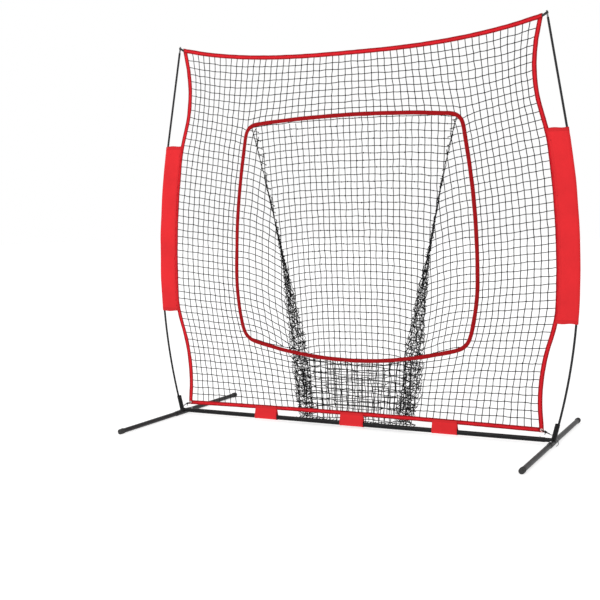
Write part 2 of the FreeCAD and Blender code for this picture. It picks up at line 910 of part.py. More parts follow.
def make_borders():
    """Webbing on the four edges: the top strip takes the upper corners, the sides the lower."""
    points = border_points()
    width = number("border_width")
    thickness = number("border_thickness")
    inner = [points[i, ROWS] for i in range(COLUMNS + 1)]
    outer = [(x, top_z(x) + half_border) for x, _ in inner]
    end_x = inner[-1][0] + width
    low_end = (end_x, top_z(end_x) - half_border)
    high_end = (end_x, top_z(end_x) + half_border)
    top = [(-low_end[0], low_end[1])] + inner + [low_end, high_end] + outer[::-1]
    top += [(-high_end[0], high_end[1])]
    feature("net_border_top", plate(top, thickness))
    inner = [points[i, 0] for i in range(COLUMNS + 1)]
    bottom = inner + [(x, z - width) for x, z in inner[::-1]]
    feature("net_border_bottom", plate(bottom, thickness))
    for side, sign in SIDES:
        inner = [points[COLUMNS, j] for j in range(ROWS + 1)]
        low_x, low_z = inner[0]
        edge = [(low_x, low_z - width)] + inner
        far = [(x + width, z) for x, z in edge]
        far[-1] = low_end
        strip = plate([(sign * x, z) for x, z in edge + far[::-1]], thickness)
        hole = Part.makeCylinder(grommet_barrel(), 2 * thickness,
                                 grommet_place(sign) - BACK * thickness, BACK)
        feature("net_border_" + side, strip.cut(hole))


# Pole sleeves: cloth that runs out from the border, round the pole and back

def sleeve_channel():
    return float(ferrule_radius + size("sleeve_gap"))


def webbing_edge():
    """The outer edge of the right side's webbing, from the bottom up."""
    points = border_points()
    line = [points[COLUMNS, j] for j in range(ROWS + 1)]
    return [(x + number("border_width"), z) for x, z in line]


def across_at(line, height):
    """How far out a line of points is at a height."""
    for (low_x, low_z), (high_x, high_z) in zip(line, line[1:]):
        if height <= high_z:
            break
    return low_x + (high_x - low_x) * (height - low_z) / (high_z - low_z)


def sleeve_section(height, seam, sign, inside):
    """The sleeve's section at one height, outside or inside its cloth."""
    centre = pole_x(height)
    cloth = number("fabric_thickness")
    radius = sleeve_channel() + cloth
    start = seam
    rise = cloth + number("seam_gap") / 2
    if inside:
        radius = sleeve_channel()
        start = seam + number("sleeve_seam")
        rise = number("seam_gap") / 2
    corner = radius * math.sqrt(0.5)
    outline = [(start, -rise), (centre, -radius), (centre + corner, -corner), (centre + radius, 0),
               (centre + corner, corner), (centre, radius), (start, rise)]
    points = [Vector(sign * x, y, height) for x, y in outline]
    edges = [Part.makeLine(points[0], points[1]),
             Part.Arc(points[1], points[2], points[3]).toShape(),
             Part.Arc(points[3], points[4], points[5]).toShape(),
             Part.makeLine(points[5], points[6]),
             Part.makeLine(points[6], points[0])]
    return Part.Wire(edges)


def make_sleeves():
    edge = webbing_edge()
    low = number("sleeve_bottom")
    high = number("sleeve_top")
    heights = [low] + [z for _, z in edge if low < z < high] + [high]
    places = [(z, across_at(edge, z) + number("seam_gap")) for z in heights]
    for side, sign in SIDES:
        cloth = [sleeve_section(z, seam, sign, False) for z, seam in places]
        channel = [sleeve_section(z, seam, sign, True) for z, seam in places]
        sleeve = Part.makeLoft(cloth, True, True).cut(Part.makeLoft(channel, True, True))
        feature("pole_sleeve_" + side, sleeve)


# Tabs: strips of cloth sewn over both faces of the bottom border and round the base bar

def tab_outline(radius, face, top, low):
    """One side of a tab's cloth, from its back top edge round under the bar to its front."""
    centre = number("bar_height")
    reach = math.hypot(face, low - centre)
    turn = math.atan2(low - centre, face) - math.acos(radius / reach)
    points = [(face, top), (face, low)]
    for share in (0.0, 0.5, 1.0):
        angle = turn + (-math.pi / 2 - turn) * share
        points.append((radius * math.cos(angle), centre + radius * math.sin(angle)))
    points += [(-y, z) for y, z in points[-2::-1]]
    return [Vector(0, y, z) for y, z in points]


def make_tabs():
    cloth = number("fabric_thickness")
    gap_width = number("seam_gap")
    border_low = number("net_bottom") + number("net_bottom_rise") - half_border
    top = border_low + number("tab_overlap")
    low = border_low - number("tab_overlap") / 2
    inner_radius = float(tube_radius) + gap_width
    inner = tab_outline(inner_radius, border_face + gap_width, top, low)
    outer = tab_outline(inner_radius + cloth, border_face + gap_width + cloth, top, low)
    edges = []
    for line in (outer, inner[::-1]):
        edges.append(Part.makeLine(line[0], line[1]))
        edges.append(Part.makeLine(line[1], line[2]))
        edges.append(Part.Arc(line[2], line[3], line[4]).toShape())
        edges.append(Part.Arc(line[4], line[5], line[6]).toShape())
        edges.append(Part.makeLine(line[6], line[7]))
        edges.append(Part.makeLine(line[7], line[8]))
    edges.append(Part.makeLine(outer[-1], inner[-1]))
    edges.append(Part.makeLine(inner[0], outer[0]))
    wire = Part.Wire(Part.__sortEdges__(edges))
    width = number("tab_width")
    for k, name in enumerate(("left", "centre", "right")):
        tab = Part.Face(wire).extrude(RIGHT * width)
        middle = (k - 1) * number("tab_spacing")
        feature("bar_tab_" + name, tab, Placement(RIGHT * (middle - width / 2), Rotation()))


# Ball pocket: a back that slopes away from the window's top edge, two sides, a low front, a floor

def pocket_back_depth(height):
    top = number("window_top")
    share = (top - height) / (top - number("pocket_floor_height"))
    start = border_face + number("seam_gap") + number("pocket_skin") / 2
    return start + (number("pocket_depth") - start) * share


def pocket_front_depth(height):
    top = front_corner_height()
    share = (top - height) / (top - number("pocket_floor_height"))
    start = border_face + number("seam_gap") + number("pocket_skin") / 2
    return start + (number("pocket_front_depth") - start) * share


def crease_x(height):
    """Half the width of the pocket's back at a height."""
    high_x, high_z = window_corner(0, True)
    low_z = number("pocket_floor_height")
    share = max(height - low_z, 0.0) / (high_z - low_z)
    spread = high_x - number("pocket_top_inset") - number("pocket_floor_half")
    return number("pocket_floor_half") + spread * share ** number("pocket_crease_power")


def lower_edge_x(height):
    """Half the width of the window's lower edge at a height."""
    near = 0.0
    far = window_corner(0, False)[0]
    for _ in range(40):
        middle = (near + far) / 2
        if window_edge(middle, 0, False) < height:
            near = middle
        else:
            far = middle
    return far


def front_corner_height():
    """Where a crease of the pocket passes the window's lower edge and the front begins."""
    height = number("window_bottom")
    for _ in range(8):
        height = window_edge(crease_x(height), 0, False)
    return height


def mouth_x(height):
    """Half the width of the pocket where its side meets the window's edge or the front."""
    if height >= window_corner(0, False)[1]:
        return window_side(height, 0)
    return max(crease_x(height), lower_edge_x(height))


def pocket_grid(columns, rows, half_width, low_edge, high_edge):
    """Crossings of a netting piece that tapers between its lower and upper edges."""
    points = {}
    for i in range(columns + 1):
        for j in range(rows + 1):
            across = 2 * i / columns - 1
            low = low_edge(across * half_width(number("pocket_floor_height")))
            high_x = across * half_width(high_edge(0))
            high = high_edge(high_x)
            z = low + (high - low) * j / rows
            points[i, j] = (across * half_width(z), z)
    return points


def grid_rim(points, columns, rows):
    bottom = [points[i, 0] for i in range(columns)]
    right = [points[columns, j] for j in range(rows)]
    top = [points[i, rows] for i in range(columns, 0, -1)]
    left = [points[0, j] for j in range(rows, 0, -1)]
    return bottom + right + top + left


def netting(label, columns, rows, half_width, high_edge, depth_at):
    """A flat piece of the pocket, tilted back, with its gaps."""
    floor = number("pocket_floor_height")
    top = high_edge(0)
    slope = (depth_at(floor) - depth_at(top)) / (top - floor)
    normal = Vector(0, 1, slope)
    normal.normalize()
    points = pocket_grid(columns, rows, half_width, lambda x: floor, high_edge)
    gaps = cells(points, (0, columns), (0, rows), number("strand_width") / 2)
    print("gaps in", label + ":", len(gaps))
    panel = plate(grid_rim(points, columns, rows), number("pocket_skin"), gaps, depth_at, normal)
    feature(label, panel)


def make_pocket():
    netting("pocket_back", POCKET_COLUMNS, POCKET_ROWS, crease_x,
            lambda x: window_edge(x, 0, True), pocket_back_depth)
    netting("pocket_front", POCKET_COLUMNS, FRONT_ROWS, crease_x,
            lambda x: window_edge(x, 0, False), pocket_front_depth)
    make_pocket_sides()
    make_pocket_floor()


def pocket_side_line(height):
    """The level line that a pocket side follows at one height, from the window to the crease."""
    skin = number("pocket_skin")
    space = number("seam_gap")
    near = max(border_face, pocket_front_depth(height) + skin / 2) + space
    far = pocket_back_depth(height) - skin / 2
    return Vector(mouth_x(height) + space, near, height), Vector(crease_x(height) + space, far, height)


def pocket_side_point(height, share):
    near, far = pocket_side_line(height)
    return near + (far - near) * share


def side_gap(low, high, column, columns):
    """A short prism through one cell of a pocket side, inside its half strands."""
    first = column / columns
    last = (column + 1) / columns
    corners = [pocket_side_point(low, first), pocket_side_point(low, last),
               pocket_side_point(high, last), pocket_side_point(high, first)]
    middle = (corners[0] + corners[1] + corners[2] + corners[3]) / 4
    across = (corners[1] - corners[3] + corners[2] - corners[0]).normalize()
    normal = (corners[2] - corners[0]).cross(corners[3] - corners[1]).normalize()
    along = normal.cross(across)
    flat = [((p - middle).dot(across), (p - middle).dot(along)) for p in corners]
    flat = gap(flat, number("strand_width") / 2)
    points = [middle + across * u + along * v for u, v in flat]
    depth = 4 * number("pocket_skin")
    prism = Part.Face(Part.makePolygon(points + points[:1])).extrude(normal * (2 * depth))
    prism.translate(normal * -depth)
    return prism


def make_pocket_sides():
    """The sides run from the window's edge back and in to the creases of the pocket's back.

    Between the lower corner and the front they are gathered along the window's edge.
    """
    skin = number("pocket_skin")
    floor = number("pocket_floor_height") + skin
    low_z = window_corner(0, False)[1]
    high_z = window_corner(0, True)[1] - number("binding_width")
    below = shared(floor, front_corner_height(), FRONT_ROWS)
    gathered = shared(front_corner_height(), low_z, GATHERED_ROWS)[1:]
    above = shared(low_z, high_z, POCKET_SIDE_ROWS)[1:]
    heights = below + gathered + above
    sections = []
    for height in heights:
        near, far = pocket_side_line(height)
        outward = (far - near).cross(UP).normalize() * skin
        points = [near, far, far + outward, near + outward]
        sections.append(Part.makePolygon(points + points[:1]))
    gaps = []
    for low, high in zip(below, below[1:]):
        gaps.append(side_gap(low, high, 0, 1))
    for low, high in zip([low_z] + above, above):
        for column in range(POCKET_SIDE_COLUMNS):
            gaps.append(side_gap(low, high, column, POCKET_SIDE_COLUMNS))
    right = Part.makeLoft(sections, True, True).cut(gaps)
    print("gaps in a pocket side:", len(gaps))
    feature("pocket_side_left", right.mirror(ORIGIN, RIGHT))
    feature("pocket_side_right", right)


def make_pocket_floor():
    skin = number("pocket_skin")
    half = number("pocket_floor_half")
    near = number("pocket_front_depth") - skin
    far = number("pocket_depth") + skin
    height = number("pocket_floor_height") - number("seam_gap") - skin
    floor = Part.makeBox(2 * half, far - near, skin, Vector(-half, near, height))
    feature("pocket_floor", floor)


# Corner fittings

def make_grommets():
    hole = number("grommet_hole") / 2
    flange = number("grommet_flange") / 2
    metal = number("grommet_metal")
    rings = []
    for _, sign in SIDES:
        barrel = Part.makeCylinder(hole + metal, 2 * border_face)
        barrel.translate(UP * -border_face)
        ring = barrel
        for start in (-border_face - metal, border_face):
            rim = Part.makeCylinder(flange, metal)
            rim.translate(UP * start)
            ring = ring.fuse(rim)
        bore = Part.makeCylinder(hole, 4 * border_face)
        bore.translate(UP * (-2 * border_face))
        ring = ring.cut(bore).removeSplitter()
        ring.Placement = Placement(grommet_place(sign), Rotation(UP, BACK))
        rings.append(ring)
    feature("corner_grommets", Part.makeCompound(rings))


def cord_length():
    """From the grommet to the cord's end, which stops short of the socket for the hook."""
    run = cord_target(1) - grommet_place(1)
    return run.Length - float(socket_radius) - number("hook_reach")


def hook_start():
    """Where the right corner's hook begins, just past the end of its cord."""
    return grommet_place(1) + cord_direction(1) * (cord_length() + number("seam_gap"))


def cord_target(sign):
    return hub_centre(sign) + lean_direction(sign) * (number("socket_length") / 3)


def cord_direction(sign):
    return (cord_target(sign) - grommet_place(sign)).normalize()


def make_corner_cords():
    """A loop through the grommet with a knot outside the corner, and a run to the hook."""
    radius = number("cord_diameter") / 2
    loop = number("cord_loop") / 2
    for side, sign in SIDES:
        start = grommet_place(sign)
        run = cord_direction(sign)
        ring = Part.makeTorus(loop, radius, start + run * loop, run.cross(BACK))
        knot = Part.makeSphere(number("knot_diameter") / 2, start + run * number("cord_loop"))
        stretch = cord_length() - number("cord_loop")
        cord = Part.makeCylinder(radius, stretch, start + run * number("cord_loop"), run)
        feature("corner_cord_" + side, ring.fuse(knot).fuse(cord))


def smooth_path(points):
    """Straight runs joined by tangent arcs, each as wide as its shorter run allows."""
    edges = []
    here = points[0]
    for k in range(1, len(points) - 1):
        before = points[k] - points[k - 1]
        after = points[k + 1] - points[k]
        turn = before.getAngle(after)
        trim = 0.45 * min(before.Length, after.Length)
        radius = trim / math.tan(turn / 2)
        print("bend radius %.1f" % radius)
        into = before.normalize()
        out_of = after.normalize()
        start = points[k] - into * trim
        end = points[k] + out_of * trim
        inward = (out_of - into).normalize()
        reach = radius / math.cos(turn / 2) - radius
        edges.append(Part.LineSegment(here, start).toShape())
        edges.append(Part.Arc(start, points[k] + inward * reach, end).toShape())
        here = end
    edges.append(Part.LineSegment(here, points[-1]).toShape())
    return edges


# The hook's bends past the socket, from the hub's middle: outward, back and up, as shares of
# the wire's distance from the socket's middle. The last one is the hook's end.
HOOK_BENDS = ((0.95, 1.2, 1.25), (1.75, 0.35, 0.3), (1.9, -0.9, -0.35), (1.55, -2.0, -0.55))


def make_corner_hooks():
    """A wire hook that passes behind the pole socket and curls out beside the foot."""
    wire = number("hook_wire") / 2
    reach = float(socket_radius) + wire + number("hook_clearance")
    for side, sign in SIDES:
        start = hook_start()
        foot = hub_centre(1)
        behind = Vector(-reach / 4, reach, reach + (start.z - foot.z) / 2)
        points = [start, start + cord_direction(1) * (reach / 2), foot + behind]
        for bend in HOOK_BENDS:
            points.append(foot + Vector(*bend) * reach)
        path = smooth_path([flipped(point, sign) for point in points])
        feature("corner_hook_" + side, swept_round(path, wire))


def make_corner_loops():
    """A strap from the net's upper corner with a ring that holds the neck of the pole's tip."""
    bore = number("neck_diameter") / 2 + number("seam_gap")
    outer = bore + number("loop_wall")
    height = number("neck_length") - 2 * number("seam_gap")
    length = 3 * number("pole_section") + number("tip_length") + number("seam_gap")
    edge_x = net_corner(True)[0] + 2 * half_border + number("seam_gap")
    edge_z = top_z(edge_x)
    for side, sign in SIDES:
        place = along_pole(length, 1)
        ring = Part.makeCylinder(outer, height)
        ring.Placement = place
        centre = place.multVec(UP * (height / 2))
        target = Vector(edge_x, 0, edge_z)
        run = (target - centre).normalize()
        across = run.cross(BACK) * (number("strap_thickness") / 2)
        steep = 1.0 / run.x
        corners = [centre + across, centre - across]
        ends = [corner + run * ((edge_x - corner.x) * steep) for corner in corners]
        outline = [corners[0], ends[0], ends[1], corners[1]]
        strap = Part.Face(Part.makePolygon(outline + outline[:1]))
        strap = strap.extrude(BACK * number("strap_width"))
        strap.translate(BACK * (-number("strap_width") / 2))
        pin = float(size("tip_diameter") / 2 + size("seam_gap"))
        hole = Part.makeCylinder(bore, 3 * height, UP * -height)
        below = Part.makeCylinder(pin, height, UP * -height)
        above = Part.makeCylinder(pin, height, UP * height)
        hole = hole.fuse([below, above])
        hole.Placement = place
        loop = ring.fuse(strap).cut(hole)
        if sign < 0:
            loop = loop.mirror(ORIGIN, RIGHT)
        feature("corner_loop_" + side, loop)


make_hubs()
make_sockets()
make_spigots()
make_foot_tubes()
make_foot_caps()
make_base_bars()
make_buttons()
make_button_springs()
make_poles()
make_ferrules()
make_pole_tips()
make_net_panel()
make_borders()
make_binding()
make_sleeves()
make_tabs()
make_pocket()
make_grommets()
make_corner_cords()
make_corner_hooks()
make_corner_loops()
doc.recompute()

for item in doc.Objects:
    if "Invalid" in item.State or "Error" in item.State:
        raise RuntimeError("%s did not build: %s" % (item.Label, item.State))
for item in pieces:
    if item.Shape.isNull() or not item.Shape.isValid():
        raise RuntimeError(item.Label + " has no valid shape")
for item in pieces:
    item.Shape.exportStep("parts/%s.step" % item.Label)
print(len(pieces), "sub-parts")
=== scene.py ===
import math
import random

import bpy
from mathutils import Matrix, Vector, noise


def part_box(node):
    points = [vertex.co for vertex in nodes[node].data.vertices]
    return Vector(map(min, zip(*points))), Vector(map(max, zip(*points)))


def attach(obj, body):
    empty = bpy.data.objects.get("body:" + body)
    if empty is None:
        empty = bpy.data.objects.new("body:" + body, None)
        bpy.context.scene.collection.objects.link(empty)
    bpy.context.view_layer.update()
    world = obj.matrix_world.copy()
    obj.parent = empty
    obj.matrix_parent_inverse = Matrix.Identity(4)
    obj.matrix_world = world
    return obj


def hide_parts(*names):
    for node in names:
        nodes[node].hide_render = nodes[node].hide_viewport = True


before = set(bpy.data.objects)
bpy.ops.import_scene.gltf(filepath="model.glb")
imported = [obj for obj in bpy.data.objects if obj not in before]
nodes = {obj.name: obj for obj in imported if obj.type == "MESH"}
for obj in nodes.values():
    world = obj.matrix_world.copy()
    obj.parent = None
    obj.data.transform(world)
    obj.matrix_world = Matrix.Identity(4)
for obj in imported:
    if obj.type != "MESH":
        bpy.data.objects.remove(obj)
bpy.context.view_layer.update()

BODY = "net_and_frame"


# Camera: stands a little over five metres in front of the net, to its right and just
# above half its height, and looks slightly down, as the photographer did.

EYE = Vector((2.2242, -5.0938, 1.1631))
EYE_TURN = math.radians(-26.41)
EYE_DIP = math.radians(4.70)
EYE_ROLL = math.radians(-0.807)
LENS = 61.94
SENSOR = 36.0

ahead = Vector((math.sin(EYE_TURN) * math.cos(EYE_DIP),
                math.cos(EYE_TURN) * math.cos(EYE_DIP),
                -math.sin(EYE_DIP)))
across = Vector((math.cos(EYE_TURN), -math.sin(EYE_TURN), 0.0))
upward = across.cross(ahead)
rolled_across = across * math.cos(EYE_ROLL) + upward * math.sin(EYE_ROLL)
rolled_upward = upward * math.cos(EYE_ROLL) - across * math.sin(EYE_ROLL)
bpy.ops.object.camera_add(location=EYE)
camera = bpy.context.object
camera.matrix_world = Matrix((
    (rolled_across.x, rolled_upward.x, -ahead.x, EYE.x),
    (rolled_across.y, rolled_upward.y, -ahead.y, EYE.y),
    (rolled_across.z, rolled_upward.z, -ahead.z, EYE.z),
    (0.0, 0.0, 0.0, 1.0)))
camera.data.lens = LENS
camera.data.sensor_width = SENSOR
bpy.context.scene.camera = camera
bpy.context.scene.view_settings.view_transform = "Standard"


# Floor and light: a plain white studio. The floor takes a soft shadow, and a wide lamp
# above the front adds gentle shape to an even white surround.

def new_material(name):
    material = bpy.data.materials.new(name)
    material.use_nodes = True
    return material, material.node_tree.nodes, material.node_tree.links


def white_floor():
    material, items, links = new_material("white_floor")
    shader = items["Principled BSDF"]
    shader.inputs["Base Color"].default_value = (0.55, 0.55, 0.55, 1.0)
    shader.inputs["Roughness"].default_value = 0.9
    shader.inputs["Emission Color"].default_value = (1.0, 1.0, 1.0, 1.0)
    shader.inputs["Emission Strength"].default_value = 0.70
    return material


bpy.ops.mesh.primitive_plane_add(size=60.0, location=(0.0, 8.0, 0.0))
floor = bpy.context.object
floor.name = "floor"
floor.data.materials.append(white_floor())

world = bpy.context.scene.world or bpy.data.worlds.new("studio")
bpy.context.scene.world = world
world.use_nodes = True
items = world.node_tree.nodes
links = world.node_tree.links
surround = items["Background"]
surround.inputs["Color"].default_value = (1.0, 1.0, 1.0, 1.0)
surround.inputs["Strength"].default_value = 0.60
backdrop = items.new("ShaderNodeBackground")
backdrop.inputs["Color"].default_value = (1.0, 1.0, 1.0, 1.0)
backdrop.inputs["Strength"].default_value = 1.0
rays = items.new("ShaderNodeLightPath")
seen = items.new("ShaderNodeMath")
seen.operation = "MAXIMUM"
links.new(rays.outputs["Is Camera Ray"], seen.inputs[0])
links.new(rays.outputs["Is Glossy Ray"], seen.inputs[1])
chooser = items.new("ShaderNodeMixShader")
links.new(seen.outputs[0], chooser.inputs["Fac"])
links.new(surround.outputs[0], chooser.inputs[1])
links.new(backdrop.outputs[0], chooser.inputs[2])
links.new(chooser.outputs[0], items["World Output"].inputs["Surface"])

bpy.ops.object.light_add(type="AREA", location=(-1.5, -4.5, 4.5))
lamp = bpy.context.object
lamp.name = "key_lamp"
lamp.data.shape = "RECTANGLE"
lamp.data.size = 4.0
lamp.data.size_y = 3.0
lamp.data.energy = 112.0
lamp.rotation_euler = (Vector((0.0, 0.0, 1.0)) - lamp.location).to_track_quat("-Z", "Y").to_euler()


# Steel base: 25 mm tube, powder coated satin black. The coat has a fine orange-peel skin and
# wears a little greyer in rubbed patches spread by noise. The CAD tubes are kept.

def noise_over(items, links, place, scale, detail, roughness=0.5):
    """The value of a noise texture laid over a set of coordinates."""
    texture = items.new("ShaderNodeTexNoise")
    texture.inputs["Scale"].default_value = scale
    texture.inputs["Detail"].default_value = detail
    texture.inputs["Roughness"].default_value = roughness
    links.new(place, texture.inputs["Vector"])
    return texture.outputs["Fac"]


def ranged(items, links, value, low, high, from_low=0.0, from_high=1.0):
    """A value spread over another range."""
    change = items.new("ShaderNodeMapRange")
    change.inputs["From Min"].default_value = from_low
    change.inputs["From Max"].default_value = from_high
    change.inputs["To Min"].default_value = low
    change.inputs["To Max"].default_value = high
    links.new(value, change.inputs["Value"])
    return change.outputs["Result"]


def two_tones(items, links, value, first, first_colour, second, second_colour):
    """Colours a surface: one colour up to a value, another past a second, blended between."""
    tone = items.new("ShaderNodeValToRGB")
    low, high = tone.color_ramp.elements[0], tone.color_ramp.elements[1]
    low.position, low.color = first, (*first_colour, 1.0)
    high.position, high.color = second, (*second_colour, 1.0)
    links.new(value, tone.inputs["Fac"])
    return tone.outputs["Color"]


def relief(items, links, height, strength, distance):
    """Fine relief on a surface, from a height."""
    bump = items.new("ShaderNodeBump")
    bump.inputs["Strength"].default_value = strength
    bump.inputs["Distance"].default_value = distance
    links.new(height, bump.inputs["Height"])
    links.new(bump.outputs["Normal"], items["Principled BSDF"].inputs["Normal"])


def times(share, colour):
    """A colour made lighter or darker."""
    return tuple(share * part for part in colour)


def coated_steel(name, colour, worn, roughness, peel):
    """A sprayed finish: fine bumps, patches of different gloss and faint rubbed marks."""
    material, items, links = new_material(name)
    shader = items["Principled BSDF"]
    shader.inputs["Specular IOR Level"].default_value = 0.18
    place = items.new("ShaderNodeTexCoord").outputs["Object"]
    patches = noise_over(items, links, place, 14.0, 6.0)
    rubbed = noise_over(items, links, place, 55.0, 8.0, 0.7)
    skin = noise_over(items, links, place, 900.0, 2.0)
    gloss = ranged(items, links, patches, roughness - 0.08, roughness + 0.1)
    links.new(gloss, shader.inputs["Roughness"])
    links.new(two_tones(items, links, rubbed, 0.52, colour, 0.78, worn), shader.inputs["Base Color"])
    relief(items, links, skin, peel, 0.0004)
    return material


def finish_nodes(names, material):
    """Give CAD nodes a finish."""
    for name in names:
        slots = nodes[name].data.materials
        slots.clear()
        slots.append(material)


COAT_BLACK, COAT_WORN = (0.004, 0.004, 0.0045), (0.022, 0.022, 0.023)
FOOT_BLACK, FOOT_WORN = (0.014, 0.014, 0.015), (0.05, 0.05, 0.052)
black_coat = coated_steel("black_powder_coat", COAT_BLACK, COAT_WORN, 0.36, 0.25)
foot_coat = coated_steel("foot_powder_coat", FOOT_BLACK, FOOT_WORN, 0.42, 0.3)
bars = [name for name in nodes if name.startswith(("base_bar", "bar_spigot", "pole_socket"))]
feet = [name for name in nodes if name.startswith(("foot_tube", "foot_hub"))]
finish_nodes(bars, black_coat)
finish_nodes(feet, foot_coat)


# Snap buttons, their leaf springs and the rods' ferrules: zinc-plated and spring steel, left
# as the CAD makes them. Only the domed heads show, each through the hole in its tube.

def bare_metal(name, colour, roughness, grain):
    """Plain metal with fine drawn grain and slight differences in gloss."""
    material, items, links = new_material(name)
    shader = items["Principled BSDF"]
    shader.inputs["Metallic"].default_value = 1.0
    place = items.new("ShaderNodeTexCoord").outputs["Object"]
    drawn = noise_over(items, links, place, grain, 5.0)
    gloss = ranged(items, links, drawn, roughness - 0.08, roughness + 0.12)
    links.new(gloss, shader.inputs["Roughness"])
    links.new(two_tones(items, links, drawn, 0.0, times(0.7, colour), 1.0, colour),
              shader.inputs["Base Color"])
    relief(items, links, drawn, 0.15, 0.0002)
    return material


zinc = bare_metal("zinc_plate", (0.62, 0.62, 0.63), 0.3, 260.0)
spring_steel = bare_metal("spring_steel", (0.35, 0.35, 0.36), 0.4, 400.0)
finish_nodes([name for name in nodes if "_button_" in name], zinc)
finish_nodes(["button_springs", "pole_ferrules"], spring_steel)


# Foot caps: black rubber cups over the four tube ends. Each has a rounded end, a rolled lip
# at its mouth and two grip ribs round it, and replaces its CAD cup.

def matt_rubber(name, colour):
    """Moulded rubber: a fine grain, and dust that has settled in patches."""
    material, items, links = new_material(name)
    shader = items["Principled BSDF"]
    shader.inputs["Roughness"].default_value = 0.72
    place = items.new("ShaderNodeTexCoord").outputs["Object"]
    grain = noise_over(items, links, place, 700.0, 4.0)
    dust = noise_over(items, links, place, 30.0, 5.0)
    links.new(two_tones(items, links, dust, 0.4, colour, 0.8, times(2.2, colour)),
              shader.inputs["Base Color"])
    relief(items, links, grain, 0.35, 0.0004)
    return material


def pick_only(piece):
    """Select one piece and nothing else, for the operators that follow."""
    bpy.ops.object.select_all(action="DESELECT")
    piece.select_set(True)
    bpy.context.view_layer.objects.active = piece


def add_piece(name, data):
    """A new object for a mesh or a curve."""
    piece = bpy.data.objects.new(name, data)
    bpy.context.scene.collection.objects.link(piece)
    return piece


def keep_place(piece):
    """Put a piece's place into its mesh, so that its object sits at the origin."""
    pick_only(piece)
    bpy.ops.object.transform_apply(location=True, rotation=True, scale=True)


def turned_piece(name, profile, steps, material):
    """A piece turned about its own Z from radius and height pairs, with its seam closed."""
    mesh = bpy.data.meshes.new(name)
    mesh.from_pydata([(radius, 0.0, height) for radius, height in profile],
                     [(k, k + 1) for k in range(len(profile) - 1)], [])
    piece = add_piece(name, mesh)
    pick_only(piece)
    bpy.ops.object.mode_set(mode="EDIT")
    bpy.ops.mesh.select_all(action="SELECT")
    bpy.ops.mesh.spin(steps=steps, angle=2.0 * math.pi, center=(0.0, 0.0, 0.0), axis=(0.0, 0.0, 1.0))
    bpy.ops.mesh.select_all(action="SELECT")
    bpy.ops.mesh.remove_doubles(threshold=0.00001)
    bpy.ops.mesh.normals_make_consistent(inside=False)
    bpy.ops.object.mode_set(mode="OBJECT")
    piece.data.materials.append(material)
    bpy.ops.object.shade_smooth_by_angle(angle=math.radians(40.0))
    return piece


rubber = matt_rubber("black_rubber", (0.016, 0.016, 0.016))
CAP_RIB = 0.0007
CAP_RIB_HALF = 0.0016
CAP_RIB_PLACES = (0.35, 0.5)
CAP_CORNER = 0.0045
CAP_LIP = (0.0012, 0.0032, 0.0042)
for side in ("left", "right"):
    for end, way in (("front", -1.0), ("back", 1.0)):
        low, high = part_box("foot_cap_%s_%s" % (end, side))
        tube_low, tube_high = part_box("foot_tube_%s_%s" % (end, side))
        bore = (tube_high[0] - tube_low[0]) / 2 + 0.0002
        radius = (high[0] - low[0]) / 2 - CAP_RIB
        length = high[1] - low[1]
        profile = [(bore, 0.0), (radius - 0.0005, 0.0), (radius + CAP_RIB, CAP_LIP[0])]
        profile += [(radius + CAP_RIB, CAP_LIP[1]), (radius, CAP_LIP[2])]
        for rib in CAP_RIB_PLACES:
            place = rib * length
            profile += [(radius, place - CAP_RIB_HALF), (radius + CAP_RIB, place - CAP_RIB_HALF / 2)]
            profile += [(radius + CAP_RIB, place + CAP_RIB_HALF / 2), (radius, place + CAP_RIB_HALF)]
        for turn in range(0, 91, 15):
            angle = math.radians(turn)
            profile.append((radius - CAP_CORNER + CAP_CORNER * math.cos(angle),
                            length - CAP_CORNER + CAP_CORNER * math.sin(angle)))
        profile.append((0.0, length))
        cap = turned_piece("rubber_cap_%s_%s" % (end, side), profile, 40, rubber)
        cap.rotation_euler = (-way * math.pi / 2, 0.0, 0.0)
        middle = (low[0] + high[0]) / 2
        start = low[1] if way > 0 else high[1]
        cap.location = (middle, start, (tube_low[2] + tube_high[2]) / 2)
        keep_place(cap)
        for vertex in cap.data.vertices:
            vertex.co.z = max(vertex.co.z, low[2])
        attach(cap, BODY)
        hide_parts("foot_cap_%s_%s" % (end, side))


# Poles: three lengths of black fibreglass rod a side, ground smooth and lacquered, with a
# dull grey metal pin pressed into the top end. The CAD rods and pins are kept.

def drawn_rod(name, colour):
    """Lacquered glass fibre: fine lines along the rod and a little uneven gloss."""
    material, items, links = new_material(name)
    shader = items["Principled BSDF"]
    shader.inputs["Specular IOR Level"].default_value = 0.15
    shader.inputs["Coat Weight"].default_value = 0.12
    shader.inputs["Coat Roughness"].default_value = 0.25
    stretch = items.new("ShaderNodeMapping")
    stretch.inputs["Scale"].default_value = (600.0, 600.0, 12.0)
    links.new(items.new("ShaderNodeTexCoord").outputs["Object"], stretch.inputs["Vector"])
    fibres = noise_over(items, links, stretch.outputs["Vector"], 1.0, 4.0)
    links.new(two_tones(items, links, fibres, 0.35, colour, 0.75, times(2.0, colour)),
              shader.inputs["Base Color"])
    links.new(ranged(items, links, fibres, 0.35, 0.55), shader.inputs["Roughness"])
    relief(items, links, fibres, 0.2, 0.0002)
    return material


black_rod = drawn_rod("black_fibreglass", (0.011, 0.011, 0.012))
tip_metal = bare_metal("tip_metal", (0.20, 0.20, 0.205), 0.42, 500.0)
finish_nodes([name for name in nodes if name.startswith(("pole_lower", "pole_middle", "pole_upper"))],
             black_rod)
finish_nodes(["pole_tip_left", "pole_tip_right"], tip_metal)
